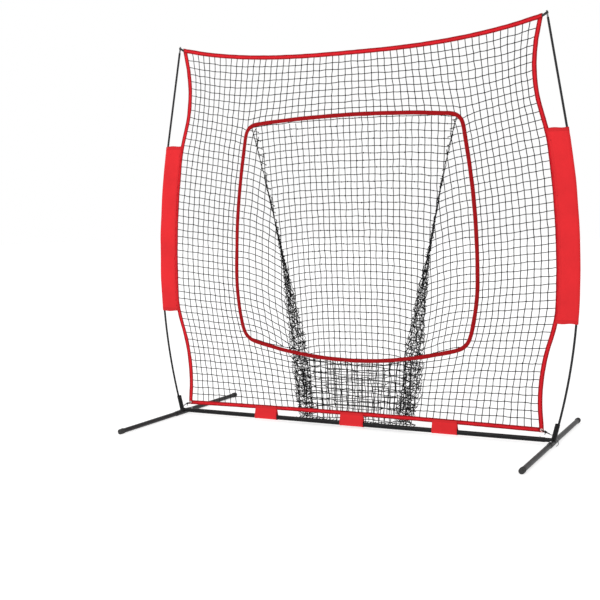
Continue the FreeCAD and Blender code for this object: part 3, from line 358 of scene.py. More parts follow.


# Border webbing: a woven red strap folded over the net's four edges, with rolled sides painted
# dark red, partly their own darker edge and partly painted shade, and a row of stitches beside
# each. The top strap runs over the upper corners.

def smooth_between(before, here, after, last, share):
    """A smooth step from one value to the next, led by the values on both sides of them."""
    return 0.5 * (2.0 * here + (after - before) * share
                  + (2.0 * before - 5.0 * here + 4.0 * after - last) * share ** 2
                  + (3.0 * here - before - 3.0 * after + last) * share ** 3)


def smooth_line(places, values):
    """A function that runs smoothly through measured values."""
    def value_at(place):
        k = 0
        while k < len(places) - 2 and place > places[k + 1]:
            k += 1
        share = (place - places[k]) / (places[k + 1] - places[k])
        here, after = values[k], values[k + 1]
        before = values[k - 1] if k > 0 else 2.0 * here - after
        last = values[k + 2] if k + 2 < len(values) else 2.0 * after - here
        return smooth_between(before, here, after, last, share)
    return value_at


def strap_edges(name, along):
    """The smooth inner and outer edges of a strap's CAD solid, and where they begin and end."""
    rows = {}
    for vertex in nodes[name].data.vertices:
        rows.setdefault(round(vertex.co[along], 4), set()).add(round(vertex.co[2 - along], 5))
    kept = [row for row in sorted(rows) if 0.018 < max(rows[row]) - min(rows[row]) < 0.03]
    low = smooth_line(kept, [min(rows[row]) for row in kept])
    high = smooth_line(kept, [max(rows[row]) for row in kept])
    return low, high, kept[0], kept[-1]


def laid_grid(name, columns, rows, place_of, material):
    """A grid sheet laid out vertex by vertex. place_of gives a place and its distances across
    and along the cloth, which become the UVs. Edges that meet are sewn together."""
    bpy.ops.object.select_all(action="DESELECT")
    bpy.ops.mesh.primitive_grid_add(x_subdivisions=columns, y_subdivisions=rows, size=1.0)
    piece = bpy.context.object
    piece.name = name
    flat = []
    for vertex in piece.data.vertices:
        place, cloth = place_of(round((vertex.co.x + 0.5) * columns), round((vertex.co.y + 0.5) * rows))
        vertex.co = place
        flat.append(cloth)
    layer = piece.data.uv_layers.active.data
    for loop in piece.data.loops:
        layer[loop.index].uv = flat[loop.vertex_index]
    piece.data.materials.append(material)
    bpy.ops.object.mode_set(mode="EDIT")
    bpy.ops.mesh.select_all(action="SELECT")
    bpy.ops.mesh.remove_doubles(threshold=0.00002)
    bpy.ops.mesh.normals_make_consistent(inside=False)
    bpy.ops.object.mode_set(mode="OBJECT")
    bpy.ops.object.shade_smooth_by_angle(angle=math.radians(60.0))
    return piece


def sums_in(items, links):
    """A function that adds one step of arithmetic to a material. Each of its values is a
    number or another step's result."""
    def sum_of(operation, *values):
        node = items.new("ShaderNodeMath")
        node.operation = operation
        for k, value in enumerate(values):
            if isinstance(value, (int, float)):
                node.inputs[k].default_value = value
            else:
                links.new(value, node.inputs[k])
        return node.outputs[0]
    return sum_of


def cloth_material(name, roughness, glint, sheen, sheen_roughness):
    """The start of a cloth: its sheen, and its places across and along as they are laid flat."""
    material, items, links = new_material(name)
    shader = items["Principled BSDF"]
    shader.inputs["Roughness"].default_value = roughness
    shader.inputs["Specular IOR Level"].default_value = glint
    shader.inputs["Sheen Weight"].default_value = sheen
    shader.inputs["Sheen Roughness"].default_value = sheen_roughness
    cloth = items.new("ShaderNodeTexCoord")
    parts = items.new("ShaderNodeSeparateXYZ")
    links.new(cloth.outputs["UV"], parts.inputs[0])
    return material, items, links, cloth.outputs["Object"], parts.outputs["X"], parts.outputs["Y"]


def stitched(sum_of, along, pitch, length):
    """One along each stitch of a seam, nought between stitches."""
    return sum_of("LESS_THAN", sum_of("MODULO", sum_of("ADD", along, 10.0), pitch), length)


def woven(sum_of, across, along, across_turns, along_turns):
    """The relief of yarns that cross, from their radians to the metre each way."""
    ribs = sum_of("SINE", sum_of("MULTIPLY", along, along_turns))
    yarns = sum_of("SINE", sum_of("MULTIPLY", across, across_turns))
    return sum_of("MULTIPLY", ribs, yarns)


def tinted(items, links, colour, shade):
    """Colours a cloth by a colour, made lighter or darker by a shade."""
    tint = items.new("ShaderNodeVectorMath")
    tint.operation = "SCALE"
    if isinstance(colour, tuple):
        tint.inputs[0].default_value = colour
    else:
        links.new(colour, tint.inputs[0])
    links.new(shade, tint.inputs["Scale"])
    links.new(tint.outputs["Vector"], items["Principled BSDF"].inputs["Base Color"])


STRAP_STITCH = 0.004
STRAP_STITCH_PITCH = 0.006


def woven_strap(name, colour, edge_colour_and_shade, width, edge_share):
    """Heavy weave with darker rolled edges, their colour partly painted shade of the rolled sides, a
    stitch line inside each and light fading.
    """
    cloth = cloth_material(name, 0.78, 0.15, 0.06, 0.5)
    material, items, links, place, across_cloth, along_cloth = cloth
    sum_of = sums_in(items, links)
    share = sum_of("DIVIDE", sum_of("ABSOLUTE", across_cloth), width / 2)
    # The darker edge colour stands partly for painted shade on the rolled sides.
    band = two_tones(items, links, share, edge_share - 0.06, colour, edge_share + 0.06, edge_colour_and_shade)
    # The stitches are sunk into the strap beside its rolled edge.
    beside = sum_of("COMPARE", share, edge_share - 0.14, 0.05)
    stitch = sum_of("MULTIPLY", beside, stitched(sum_of, along_cloth, STRAP_STITCH_PITCH, STRAP_STITCH))
    faded = ranged(items, links, noise_over(items, links, place, 22.0, 6.0), 0.86, 1.08, 0.3, 0.7)
    tinted(items, links, band, sum_of("MULTIPLY", sum_of("MULTIPLY_ADD", stitch, -0.35, 1.0), faded))
    # The weave: ribs across the strap every 1.4 mm and yarns along it every 1.1 mm.
    weave = woven(sum_of, across_cloth, along_cloth, 5710.0, 4490.0)
    relief(items, links, sum_of("MULTIPLY_ADD", stitch, 2.0, weave), 0.5, 0.0004)
    return material


BORDER_RED = (0.74, 0.012, 0.021)
# The edge red is partly the strap's own darker edge and partly painted shade of its rolled sides.
BORDER_EDGE_RED_AND_SHADE = (0.35, 0.001, 0.005)
BORDER_WIDTH = 0.024
strap_red = woven_strap("border_webbing", BORDER_RED, BORDER_EDGE_RED_AND_SHADE, BORDER_WIDTH, 0.48)

# Half of the strap's section: share of the half width, and half thickness in metres. The
# strap is flat in the middle and has a groove where it is stitched beside each rolled edge.
STRAP_HALF = ((0.0, 0.0014), (0.26, 0.00145), (0.40, 0.0013), (0.48, 0.0010), (0.56, 0.0013),
              (0.68, 0.0021), (0.81, 0.0025), (0.92, 0.0021), (0.98, 0.0012), (1.0, 0.0))


def strap_ring(half):
    """The points round a strap's section: front from side to side, then back again."""
    side_points = list(half)
    front = [(-share, -thick) for share, thick in side_points[::-1]] + \
            [(share, -thick) for share, thick in side_points[1:]]
    back = [(share, -thick) for share, thick in front[::-1]]
    return front + back[1:]


def strap_piece(name, edge_at, length, half, material, waver):
    """A strap swept along a run. edge_at gives its two edges for a share of the length."""
    ring = strap_ring(half)
    rows = max(8, round(length / 0.012))

    def place_of(i, j):
        share_across, thick = ring[i]
        share = j / rows
        (inner_x, inner_z), (outer_x, outer_z) = edge_at(share)
        along = share * length
        wave = waver * noise.noise(Vector((along * 9.0, inner_x * 3.0, 1.7)))
        lean = waver * noise.noise(Vector((along * 14.0, 5.3, inner_z * 2.0)))
        mix = (share_across + 1.0) / 2.0
        x = inner_x + (outer_x - inner_x) * mix
        z = inner_z + (outer_z - inner_z) * mix
        edge_wave = 0.5 * waver * noise.noise(Vector((along * 30.0, share_across * 0.7, 8.1)))
        size_across = math.hypot(outer_x - inner_x, outer_z - inner_z)
        x += edge_wave * (outer_x - inner_x) / size_across
        z += edge_wave * (outer_z - inner_z) / size_across
        y = thick + wave + lean * share_across
        return (x, y, z), (share_across * size_across / 2.0, along)

    piece = laid_grid(name, len(ring) - 1, rows, place_of, material)
    bpy.ops.object.mode_set(mode="EDIT")
    bpy.ops.mesh.select_all(action="DESELECT")
    bpy.ops.mesh.select_non_manifold()
    bpy.ops.mesh.fill_holes(sides=0)
    bpy.ops.mesh.select_all(action="SELECT")
    bpy.ops.mesh.normals_make_consistent(inside=False)
    bpy.ops.object.mode_set(mode="OBJECT")
    return piece


STRAP_WAVER = 0.0016
top_low, top_high, top_start, top_end = strap_edges("net_border_top", 0)
bottom_low, bottom_high, bottom_start, bottom_end = strap_edges("net_border_bottom", 0)
side_edges = {}
for side, sign in (("left", -1.0), ("right", 1.0)):
    low, high, start, end = strap_edges("net_border_" + side, 2)
    side_edges[side] = (high, low, start, end) if sign < 0 else (low, high, start, end)


def top_run(share):
    x = top_start + (top_end - top_start) * share
    return (x, top_low(x)), (x, top_high(x))


def bottom_run(share):
    x = bottom_start + (bottom_end - bottom_start) * share
    return (x, bottom_low(x)), (x, bottom_high(x))


def side_run(side):
    """The side strap runs up under the end of the top strap."""
    inner, outer, start, end = side_edges[side]
    corner = top_end if side == "right" else top_start

    def run(share):
        z = start + (TOP_CORNER - start) * share
        if z <= end:
            return (inner(z), z), (outer(z), z)
        rest = (z - end) / (TOP_CORNER - end)
        inner_x = inner(end) + (corner - math.copysign(BORDER_WIDTH, corner) - inner(end)) * rest
        outer_x = outer(end) + (corner - outer(end)) * rest
        return (inner_x, z), (outer_x, z + 0.003 * rest)
    return run


TOP_CORNER = top_low(top_end - BORDER_WIDTH) + 0.004
for name, run, length in (("top", top_run, top_end - top_start),
                          ("bottom", bottom_run, bottom_end - bottom_start),
                          ("left", side_run("left"), TOP_CORNER - side_edges["left"][2]),
                          ("right", side_run("right"), TOP_CORNER - side_edges["right"][2])):
    strap = strap_piece("border_webbing_" + name, run, length, STRAP_HALF, strap_red, STRAP_WAVER)
    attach(strap, BODY)
    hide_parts("net_border_" + name)


# Window binding: a dark red tape rolled over the cut edge of the netting all round the
# window, padded enough to stand out as a cord, and sewn along its inner side.

def loop_length(line):
    """The length once round a closed line."""
    return sum((line[k] - line[k - 1]).length for k in range(len(line)))


def front_rims(name):
    """The closed outlines of a flat CAD solid's front face, the longest first."""
    mesh = nodes[name].data
    front = [face for face in mesh.polygons if face.normal.y < -0.9]
    uses = {}
    for face in front:
        for pair in face.edge_keys:
            uses[pair] = uses.get(pair, 0) + 1
    beside = {}
    for (first, second), count in uses.items():
        if count == 1:
            beside.setdefault(first, []).append(second)
            beside.setdefault(second, []).append(first)
    rims = []
    left = set(beside)
    while left:
        start = min(left)
        rim = [start]
        left.discard(start)
        here = start
        while True:
            onward = [n for n in beside[here] if n in left]
            if not onward:
                break
            here = onward[0]
            left.discard(here)
            rim.append(here)
        rims.append([Vector((mesh.vertices[k].co.x, mesh.vertices[k].co.z)) for k in rim])
    return sorted(rims, key=loop_length, reverse=True)


def rounded_loop(points, steps):
    """A closed line through the points, smoothed, with steps places between each pair."""
    count = len(points)
    line = []
    for k in range(count):
        before, here, after, last = (points[(k + n) % count] for n in (-1, 0, 1, 2))
        for step in range(steps):
            line.append(smooth_between(before, here, after, last, step / steps))
    return line


def thicken(piece, thickness, offset):
    """Gives the sheet that was just laid its thickness, inwards or evenly to both sides."""
    wall = piece.modifiers.new("wall", "SOLIDIFY")
    wall.thickness = thickness
    wall.offset = offset
    bpy.ops.object.modifier_apply(modifier="wall")


outer_rim, inner_rim = front_rims("window_binding")[:2]
binding_line = []
for point in outer_rim:
    nearest = min(inner_rim, key=lambda other: (other - point).length)
    binding_line.append((point + nearest) / 2.0)
if sum(a.x * b.y - b.x * a.y for a, b in zip(binding_line, binding_line[1:])) < 0.0:
    binding_line.reverse()
binding_line = rounded_loop(binding_line, 4)
binding_length = loop_length(binding_line)

BINDING_RED = (0.36, 0.0010, 0.0040)
BINDING_WIDTH = 0.022
BINDING_ROUND = 12
BINDING_HALF_DEPTH = 0.0046
TAPE_THICKNESS = 0.0008
# The binding's darker edge colour lies on the two sides of the round cord, as painted shade.
binding_tape = woven_strap("binding_tape", BINDING_RED, (0.22, 0.0008, 0.003), BINDING_WIDTH, 0.8)


def binding_place(i, j):
    count = len(binding_line)
    here = binding_line[j % count]
    run = (binding_line[(j + 1) % count] - binding_line[j % count - 1]).normalized()
    outward = Vector((run.y, -run.x))
    angle = 2.0 * math.pi * i / BINDING_ROUND
    lump = 1.0 + 0.09 * noise.noise(Vector((here.x * 16.0, here.y * 16.0, 3.1)))
    waver = 0.0012 * noise.noise(Vector((here.x * 9.0, here.y * 9.0, 7.7)))
    across_tape = BINDING_WIDTH / 2.0 * lump * math.cos(angle)
    spot = here + outward * (across_tape + waver)
    depth = BINDING_HALF_DEPTH * lump * math.sin(angle)
    across_fold = abs((i / BINDING_ROUND * 2.0) % 1.0 * 2.0 - 1.0)
    return (spot.x, depth, spot.y), (BINDING_WIDTH / 2.0 * across_fold, j / count * binding_length)


binding = laid_grid("binding_tape", BINDING_ROUND, len(binding_line), binding_place, binding_tape)
thicken(binding, TAPE_THICKNESS, -1.0)
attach(binding, BODY)
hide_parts("window_binding")


# Net: square-mesh netting of black knotted twine, hung inside the border and cut out round
# the window. The twine is one length after another; every crossing is a flat little knot.

COLUMNS = 55
ROWS = 50
WINDOW_COLUMNS = (12, 43)
WINDOW_ROWS = (10, 41)
TWINE = 0.0022
TWINE_SLACK = 0.0009
NET_KNOT = 0.0036
NET_SHAKE = 0.0022
NET_BILLOW = 0.004
SETTLING_ROUNDS = 300


def spread(low, high, count):
    return [low + (high - low) * k / count for k in range(count + 1)]


def lengths_along(line):
    """How far along a line each of its points is."""
    lengths = [0.0]
    for before, after in zip(line, line[1:]):
        lengths.append(lengths[-1] + (after - before).length)
    return lengths


def loop_span(start, end, count):
    """Evenly spaced places on the binding's line from one place on it to another."""
    line = binding_line
    first = min(range(len(line)), key=lambda k: (line[k] - start).length)
    last = min(range(len(line)), key=lambda k: (line[k] - end).length)
    forward = (last - first) % len(line)
    backward = (first - last) % len(line)
    if forward <= backward:
        path = [line[(first + k) % len(line)] for k in range(forward + 1)]
    else:
        path = [line[(first - k) % len(line)] for k in range(backward + 1)]
    lengths = lengths_along(path)
    places = []
    for k in range(count + 1):
        target = lengths[-1] * k / count
        n = 1
        while n < len(path) - 1 and lengths[n] < target:
            n += 1
        share = (target - lengths[n - 1]) / (lengths[n] - lengths[n - 1])
        places.append(path[n - 1].lerp(path[n], share))
    return places


knots = {}
inner_left, _, _, side_end = side_edges["left"]
inner_right = side_edges["right"][0]
low_corner = bottom_high(bottom_end)
high_corner = top_low(top_end - BORDER_WIDTH)
for j, z in enumerate(spread(low_corner, high_corner, ROWS)):
    reach = min(z, side_end)
    rest = max(0.0, z - side_end) / (high_corner - side_end)
    corner_x = top_end - BORDER_WIDTH
    knots[0, j] = Vector((inner_left(reach) + (-corner_x - inner_left(reach)) * rest, z))
    knots[COLUMNS, j] = Vector((inner_right(reach) + (corner_x - inner_right(reach)) * rest, z))
for i in range(COLUMNS + 1):
    share = i / COLUMNS
    x = bottom_start + (bottom_end - bottom_start) * share
    knots[i, 0] = Vector((x, bottom_high(x)))
    x = (top_start + BORDER_WIDTH) + (top_end - top_start - 2.0 * BORDER_WIDTH) * share
    knots[i, ROWS] = Vector((x, top_low(x)))

first_column, last_column = WINDOW_COLUMNS
first_row, last_row = WINDOW_ROWS
window_corners = {
    (0, 0): Vector((-0.645, 0.470)), (1, 0): Vector((0.645, 0.470)),
    (0, 1): Vector((-0.622, 1.640)), (1, 1): Vector((0.622, 1.640))}
for row, high in ((first_row, 0), (last_row, 1)):
    count = last_column - first_column
    for k, spot in enumerate(loop_span(window_corners[0, high], window_corners[1, high], count)):
        knots[first_column + k, row] = spot
for column, right in ((first_column, 0), (last_column, 1)):
    count = last_row - first_row
    for k, spot in enumerate(loop_span(window_corners[right, 0], window_corners[right, 1], count)):
        knots[column, first_row + k] = spot

fixed = set(knots)


def in_window(i, j):
    return first_column < i < last_column and first_row < j < last_row


free = []
for i in range(1, COLUMNS):
    for j in range(1, ROWS):
        if (i, j) in fixed or in_window(i, j):
            continue
        free.append((i, j))
        level = knots[0, j].lerp(knots[COLUMNS, j], i / COLUMNS)
        upright = knots[i, 0].lerp(knots[i, ROWS], j / ROWS)
        knots[i, j] = (level + upright) / 2.0
for _ in range(SETTLING_ROUNDS):
    for i, j in free:
        around = (knots[i - 1, j], knots[i + 1, j], knots[i, j - 1], knots[i, j + 1])
        knots[i, j] = sum(around, Vector((0.0, 0.0))) / 4.0

shake = random.Random(7)
net_knots = {}
for (i, j), spot in knots.items():
    x, z = spot
    if (i, j) in free:
        x += shake.uniform(-NET_SHAKE, NET_SHAKE)
        z += shake.uniform(-NET_SHAKE, NET_SHAKE)
    deep = NET_BILLOW * noise.noise(Vector((x * 2.2, z * 2.2, 0.4)))
    net_knots[i, j] = Vector((x, deep if (i, j) in free else 0.0, z))


def twine_between(points, slack, seed):
    """Points on twine from knot to knot, with one loose place between each pair."""
    loose = random.Random(seed)
    line = [points[0]]
    for before, after in zip(points, points[1:]):
        middle = (before + after) / 2.0
        middle += Vector((loose.uniform(-1.0, 1.0), loose.uniform(-1.0, 1.0),
                          loose.uniform(-1.6, 0.4))) * slack
        line += [middle, after]
    return line


def curve_made_mesh(name, curve, material):
    """A piece made from a curve's own thickness, as a mesh."""
    piece = add_piece(name, curve)
    pick_only(piece)
    bpy.ops.object.convert(target="MESH")
    piece = bpy.context.object
    piece.data.materials.clear()
    piece.data.materials.append(material)
    return piece


def twine_piece(name, lines, radius, material):
    """Twine swept along each line, as one mesh."""
    curve = bpy.data.curves.new(name, "CURVE")
    curve.dimensions = "3D"
    curve.bevel_depth = radius
    curve.bevel_resolution = 1
    curve.use_fill_caps = True
    for line in lines:
        spline = curve.splines.new("POLY")
        spline.points.add(len(line) - 1)
        for point, place in zip(spline.points, line):
            point.co = (*place, 1.0)
    return curve_made_mesh(name, curve, material)


def knot_piece(name, places, size, material):
    """One small lumpy knot, copied to every crossing, as one mesh."""
    bpy.ops.object.select_all(action="DESELECT")
    bpy.ops.mesh.primitive_ico_sphere_add(subdivisions=1, radius=1.0)
    pattern = bpy.context.object
    corners = [vertex.co.copy() for vertex in pattern.data.vertices]
    faces = [tuple(face.vertices) for face in pattern.data.polygons]
    bpy.data.objects.remove(pattern)
    turning = random.Random(11)
    vertices = []
    polygons = []
    for place in places:
        turn = Matrix.Rotation(turning.uniform(0.0, math.pi), 3, "Y")
        size_here = size * turning.uniform(0.85, 1.2)
        start = len(vertices)
        for corner in corners:
            spot = turn @ Vector((corner.x * 1.25, corner.y * 0.8, corner.z * 0.9)) * size_here
            vertices.append(place + spot)
        polygons += [tuple(start + k for k in face) for face in faces]
    mesh = bpy.data.meshes.new(name)
    mesh.from_pydata(vertices, [], polygons)
    piece = add_piece(name, mesh)
    mesh.materials.append(material)
    return piece


def knotted_twine(name, colour):
    """Black twisted twine: a slightly furry, uneven surface with a dull sheen."""
    material, items, links = new_material(name)
    shader = items["Principled BSDF"]
    shader.inputs["Roughness"].default_value = 0.68
    shader.inputs["Specular IOR Level"].default_value = 0.15
    shader.inputs["Sheen Weight"].default_value = 0.03
    place = items.new("ShaderNodeTexCoord").outputs["Object"]
    twist = noise_over(items, links, place, 480.0, 3.0)
    fade = noise_over(items, links, place, 6.0, 4.0)
    links.new(two_tones(items, links, fade, 0.35, colour, 0.7, times(1.9, colour)),
              shader.inputs["Base Color"])
    relief(items, links, twist, 0.6, 0.0005)
    return material


twine_black = knotted_twine("black_twine", (0.005, 0.005, 0.0055))


def runs(line_of, count, blocked):
    """Splits one line of the net where the window interrupts it."""
    pieces = [[]]
    for n in range(count + 1):
        if blocked(n):
            pieces.append([])
        else:
            pieces[-1].append(line_of(n))
    return [run for run in pieces if len(run) > 1]


net_lines = []
for j in range(1, ROWS):
    for run in runs(lambda n: net_knots.get((n, j)), COLUMNS, lambda n: in_window(n, j)):
        net_lines.append(twine_between(run, TWINE_SLACK, 100 + j))
for i in range(1, COLUMNS):
    for run in runs(lambda n: net_knots.get((i, n)), ROWS, lambda n: in_window(i, n)):
        net_lines.append(twine_between(run, TWINE_SLACK, 300 + i))
net_twine = twine_piece("net_twine", net_lines, TWINE, twine_black)
crossings = [net_knots[spot] for spot in free]
net_ties = knot_piece("net_knots", crossings, NET_KNOT, twine_black)
for piece in (net_twine, net_ties):
    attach(piece, BODY)
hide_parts("net_panel")


# Ball pocket: a bag of the same netting, sewn round the window behind its binding. It hangs
# to the ground, and its slack gathers in a dark fold down each side of its narrower back.

POCKET_FLOOR = 0.027
POCKET_TOP = 1.6635
FLOOR_HALF = 0.331
CREASE_SPREAD = 0.265
CREASE_POWER = 1.65
BACK_START = 0.0035
BACK_DEPTH = 0.0870
FRONT_DEPTH = 0.026
POCKET_MESH = 0.0375
POCKET_KNOT = 0.0034
NETTING_SLACK = 0.004
BACK_TAPER = 0.13
BACK_SEWN = 1.692
BACK_WIDTH = 1.31
BACK_COLUMN_TOP = 1.70
BACK_COLUMN_GAP = 0.945
BACK_ROW_START = 0.012
BACK_ROW_END = 1.74
BACK_ROW_GAP = 0.99
ROW_PULL = 0.020
ROW_PULL_LOW = 0.032
WINDOW_SIDE = 0.60
WINDOW_HIGH = 1.55
WINDOW_LOW = 0.56


def crease_half(height):
    """Half the width of the pocket's back at a height."""
    share = max(0.0, (height - POCKET_FLOOR) / (POCKET_TOP - POCKET_FLOOR))
    return FLOOR_HALF + CREASE_SPREAD * share ** CREASE_POWER


def back_depth(height):
    """How far behind the net the pocket's back hangs."""
    share = (BACK_SEWN - height) / (BACK_SEWN - POCKET_FLOOR)
    return BACK_START + (BACK_DEPTH - BACK_START) * max(0.0, share)


right_of_window = sorted((p.y, p.x) for p in binding_line if p.x > WINDOW_SIDE)
window_top_line = sorted((p.x, p.y) for p in binding_line if p.y > WINDOW_HIGH)
window_low_line = sorted((p.x, p.y) for p in binding_line if p.y < WINDOW_LOW)


def nearest_value(table, place):
    """The second value of the pair whose first is nearest, shared between neighbours."""
    for (low, low_value), (high, high_value) in zip(table, table[1:]):
        if place <= high:
            if high - low < 1e-9:
                return high_value
            share = max(0.0, (place - low) / (high - low))
            return low_value + (high_value - low_value) * share
    return table[-1][1]


def window_half_at(height):
    return nearest_value(right_of_window, height)


def window_top_at(across_net):
    return nearest_value(window_top_line, across_net)


def window_low_at(across_net):
    return nearest_value(window_low_line, across_net)


def slack_place(place, seed, size=NETTING_SLACK):
    """A place in the netting with a small shift, the same on every run."""
    x, _, z = place
    return Vector(place) + Vector((size * noise.noise(Vector((x * 21.0, z * 21.0, seed))),
                                   size * noise.noise(Vector((x * 17.0, z * 17.0, seed + 5.0))),
                                   size * noise.noise(Vector((x * 19.0, z * 19.0, seed + 9.0)))))


def back_row_height(level, across_share):
    """A row of the back is nearly level in the middle and is pulled down at the creases."""
    pull = ROW_PULL + ROW_PULL_LOW * (1.0 - (level - POCKET_FLOOR) / POCKET_TOP)
    return level - pull * abs(across_share) ** 3.2


pocket_lines = []
pocket_crossings = []
column_count = int(BACK_WIDTH / POCKET_MESH / 2.0)
row_levels = []
level = POCKET_FLOOR + BACK_ROW_START
while level < BACK_ROW_END:
    row_levels.append(level)
    level += POCKET_MESH * BACK_ROW_GAP


def back_column_x(n, height):
    """Columns of the back draw together a little towards the floor."""
    share = 1.0 - (height - POCKET_FLOOR) / (POCKET_TOP - POCKET_FLOOR)
    return n * POCKET_MESH * BACK_COLUMN_GAP * (1.0 - BACK_TAPER * share)


for n in range(-column_count, column_count + 1):
    line = []
    height = BACK_COLUMN_TOP
    while height > POCKET_FLOOR:
        x = back_column_x(n, height)
        edge = crease_half(height)
        if abs(x) > edge:
            break
        if height < window_top_at(x) - 0.004:
            line.append(slack_place((x, back_depth(height), height), 2.0))
        height -= POCKET_MESH / 2.0
    if len(line) > 1:
        pocket_lines.append(line)
for level in row_levels:
    line = []
    edge = crease_half(level - 0.03)
    steps = int(edge / (POCKET_MESH / 2.0))
    for n in range(-steps, steps + 1):
        x = n * edge / steps
        z = max(POCKET_FLOOR + 0.001, back_row_height(level, x / edge))
        if z < window_top_at(x) - 0.008:
            line.append(slack_place((x, back_depth(z), z), 3.0))
    if len(line) > 3:
        pocket_lines.append(line)
        pocket_crossings += line[::2]

SIDE_PULL = {-1.0: 0.16, 1.0: 0.09}
SIDE_START = 0.44
SIDE_ROWS = 33
SIDE_COLUMNS = 8
SIDE_SEWN = 0.004
SEWN_GAP = 0.006


def side_spot(sign, from_window, level):
    """A place on a pocket side, some way in from the window, along a row begun at a level."""
    edge = window_half_at(max(level, 0.52))
    low = max(0.37, level - SIDE_PULL[sign])
    width = edge - crease_half(max(low, 0.40))
    if width <= 0.0:
        return None
    share = min(1.0, from_window / width)
    fall = SIDE_PULL[sign] * (0.35 + 0.65 * (1.0 - (level - 0.45) / 1.2)) * min(1.0, width / 0.2)
    z = level - fall * share ** 1.7
    x = edge - width * share
    z = max(z, window_low_at(x) + SEWN_GAP)
    y = SIDE_SEWN + (back_depth(z) - SIDE_SEWN) * share ** 1.2
    return Vector((sign * x, y, z)), share


for sign in (-1.0, 1.0):
    for level in [SIDE_START + POCKET_MESH * k for k in range(SIDE_ROWS)]:
        line = []
        from_window = SEWN_GAP
        while True:
            found = side_spot(sign, from_window, level)
            if found is None:
                break
            spot, share = found
            line.append(slack_place(spot, 4.0))
            if share >= 1.0:
                break
            from_window += POCKET_MESH / 2.0
        if len(line) > 2:
            pocket_lines.append(line)
            pocket_crossings += line[1::2]
    for n in range(1, SIDE_COLUMNS + 1):
        line = []
        for level in [SIDE_START + POCKET_MESH / 2.0 * k for k in range(2 * SIDE_ROWS)]:
            found = side_spot(sign, n * POCKET_MESH, level)
            if found is not None and found[1] < 1.0:
                line.append(slack_place(found[0], 4.5))
        if len(line) > 2:
            pocket_lines.append(line)

FRONT_START = 0.005
FRONT_COLUMNS = 9
FRONT_COLUMN_STEPS = 22
FRONT_ROWS = 10
FRONT_ROW_STEPS = 20
FLOOR_TWINES = 16
for n in range(-FRONT_COLUMNS, FRONT_COLUMNS + 1):
    line = []
    for step in range(FRONT_COLUMN_STEPS + 1):
        share = step / FRONT_COLUMN_STEPS
        top = window_low_at(n * POCKET_MESH) - 0.004
        z = top + (POCKET_FLOOR - top) * share
        x = n * POCKET_MESH * (1.0 - 0.04 * share)
        y = FRONT_START + (FRONT_DEPTH - FRONT_START) * share
        line.append(slack_place((x, y, z), 6.0, 0.012))
    pocket_lines.append(line)
for k in range(FRONT_ROWS):
    line = []
    for n in range(-FRONT_ROW_STEPS, FRONT_ROW_STEPS + 1):
        x = n / FRONT_ROW_STEPS * (crease_half(0.3) - 0.012)
        top = window_low_at(x) - 0.02
        z = top - k * POCKET_MESH * 0.95
        if z < POCKET_FLOOR:
            continue
        y = FRONT_START + (FRONT_DEPTH - FRONT_START) * (top - z) / (top - POCKET_FLOOR)
        line.append(slack_place((x, y, z), 7.0, 0.014))
    if len(line) > 3:
        pocket_lines.append(line)
        pocket_crossings += line[::2]
for k in range(-FLOOR_TWINES, FLOOR_TWINES + 1):
    x = k / FLOOR_TWINES * FLOOR_HALF
    pocket_lines.append([Vector((x, FRONT_DEPTH, POCKET_FLOOR)),
                         Vector((x, (FRONT_DEPTH + BACK_DEPTH) / 2.0, POCKET_FLOOR - 0.002)),
                         Vector((x, BACK_DEPTH, POCKET_FLOOR))])

# The gathered folds: many cells of slack netting drawn together along each crease, a thin
# dark line near the window's corner and a crumpled band as wide as a hand lower down.

fold = random.Random(23)


def fold_width(height):
    """The crumpled band's width. It swells below the middle and closes at the floor."""
    if height > 1.05:
        return 0.006 + 0.010 * max(0.0, (1.66 - height) / 0.6)
    lower = min(1.0, (1.05 - height) / 0.62)
    closing = min(1.0, (height - POCKET_FLOOR) / 0.10 + 0.45)
    return (0.016 + 0.082 * lower ** 1.4) * closing


BOTTOM_DRAW = {-1.0: 0.012, 1.0: 0.062}


def bottom_draw(sign, height):
    """How far the slack bottom corner on one side is drawn in towards the middle."""
    return BOTTOM_DRAW[sign] * max(0.0, (0.24 - height) / 0.22) ** 1.3


FOLD_LANES = 12
FOLD_TOPS = {4: 1.35, 5: 1.655, 6: 1.35, 7: 1.655, 8: 1.35}
FOLD_STEP = 0.019
FOLD_FRONT = 0.006
CRUMPLE_TOP = 1.10
CRUMPLE_STEP = 0.0115
fold_lines = []
for sign in (-1.0, 1.0):
    for n in range(FOLD_LANES + 1):
        line = []
        height = FOLD_TOPS.get(n, 1.12 - 0.05 * abs(n - 6))
        while height > POCKET_FLOOR + 0.004:
            width = fold_width(height)
            across_fold = (n / FOLD_LANES - 0.62) * width
            rough = min(0.011, 0.0022 + width * 0.11)
            x = crease_half(height) - bottom_draw(sign, height) + across_fold
            x += fold.uniform(-rough, rough)
            y = back_depth(height) - 0.002 - fold.uniform(0.0, min(0.03, width * 0.45))
            line.append(Vector((sign * x, max(FOLD_FRONT, y), height + fold.uniform(-0.004, 0.004))))
            height -= FOLD_STEP
        fold_lines.append(line)
    height = CRUMPLE_TOP
    while height > POCKET_FLOOR + 0.01:
        width = fold_width(height)
        line = []
        lean = fold.uniform(-0.045, 0.045)
        steps = max(3, int(width / 0.012))
        for k in range(steps + 1):
            share = k / steps
            x = crease_half(height) - bottom_draw(sign, height) + (share - 0.64) * width * 1.05
            x += fold.uniform(-0.003, 0.003)
            z = height + lean * (share - 0.5) + fold.uniform(-0.008, 0.008)
            y = back_depth(height) - 0.002 - fold.uniform(0.0, min(0.034, width * 0.5))
            line.append(Vector((sign * x, max(FOLD_FRONT, y), max(POCKET_FLOOR, z))))
        fold_lines.append(line)
        pocket_crossings += line[1:-1:2]
        height -= CRUMPLE_STEP

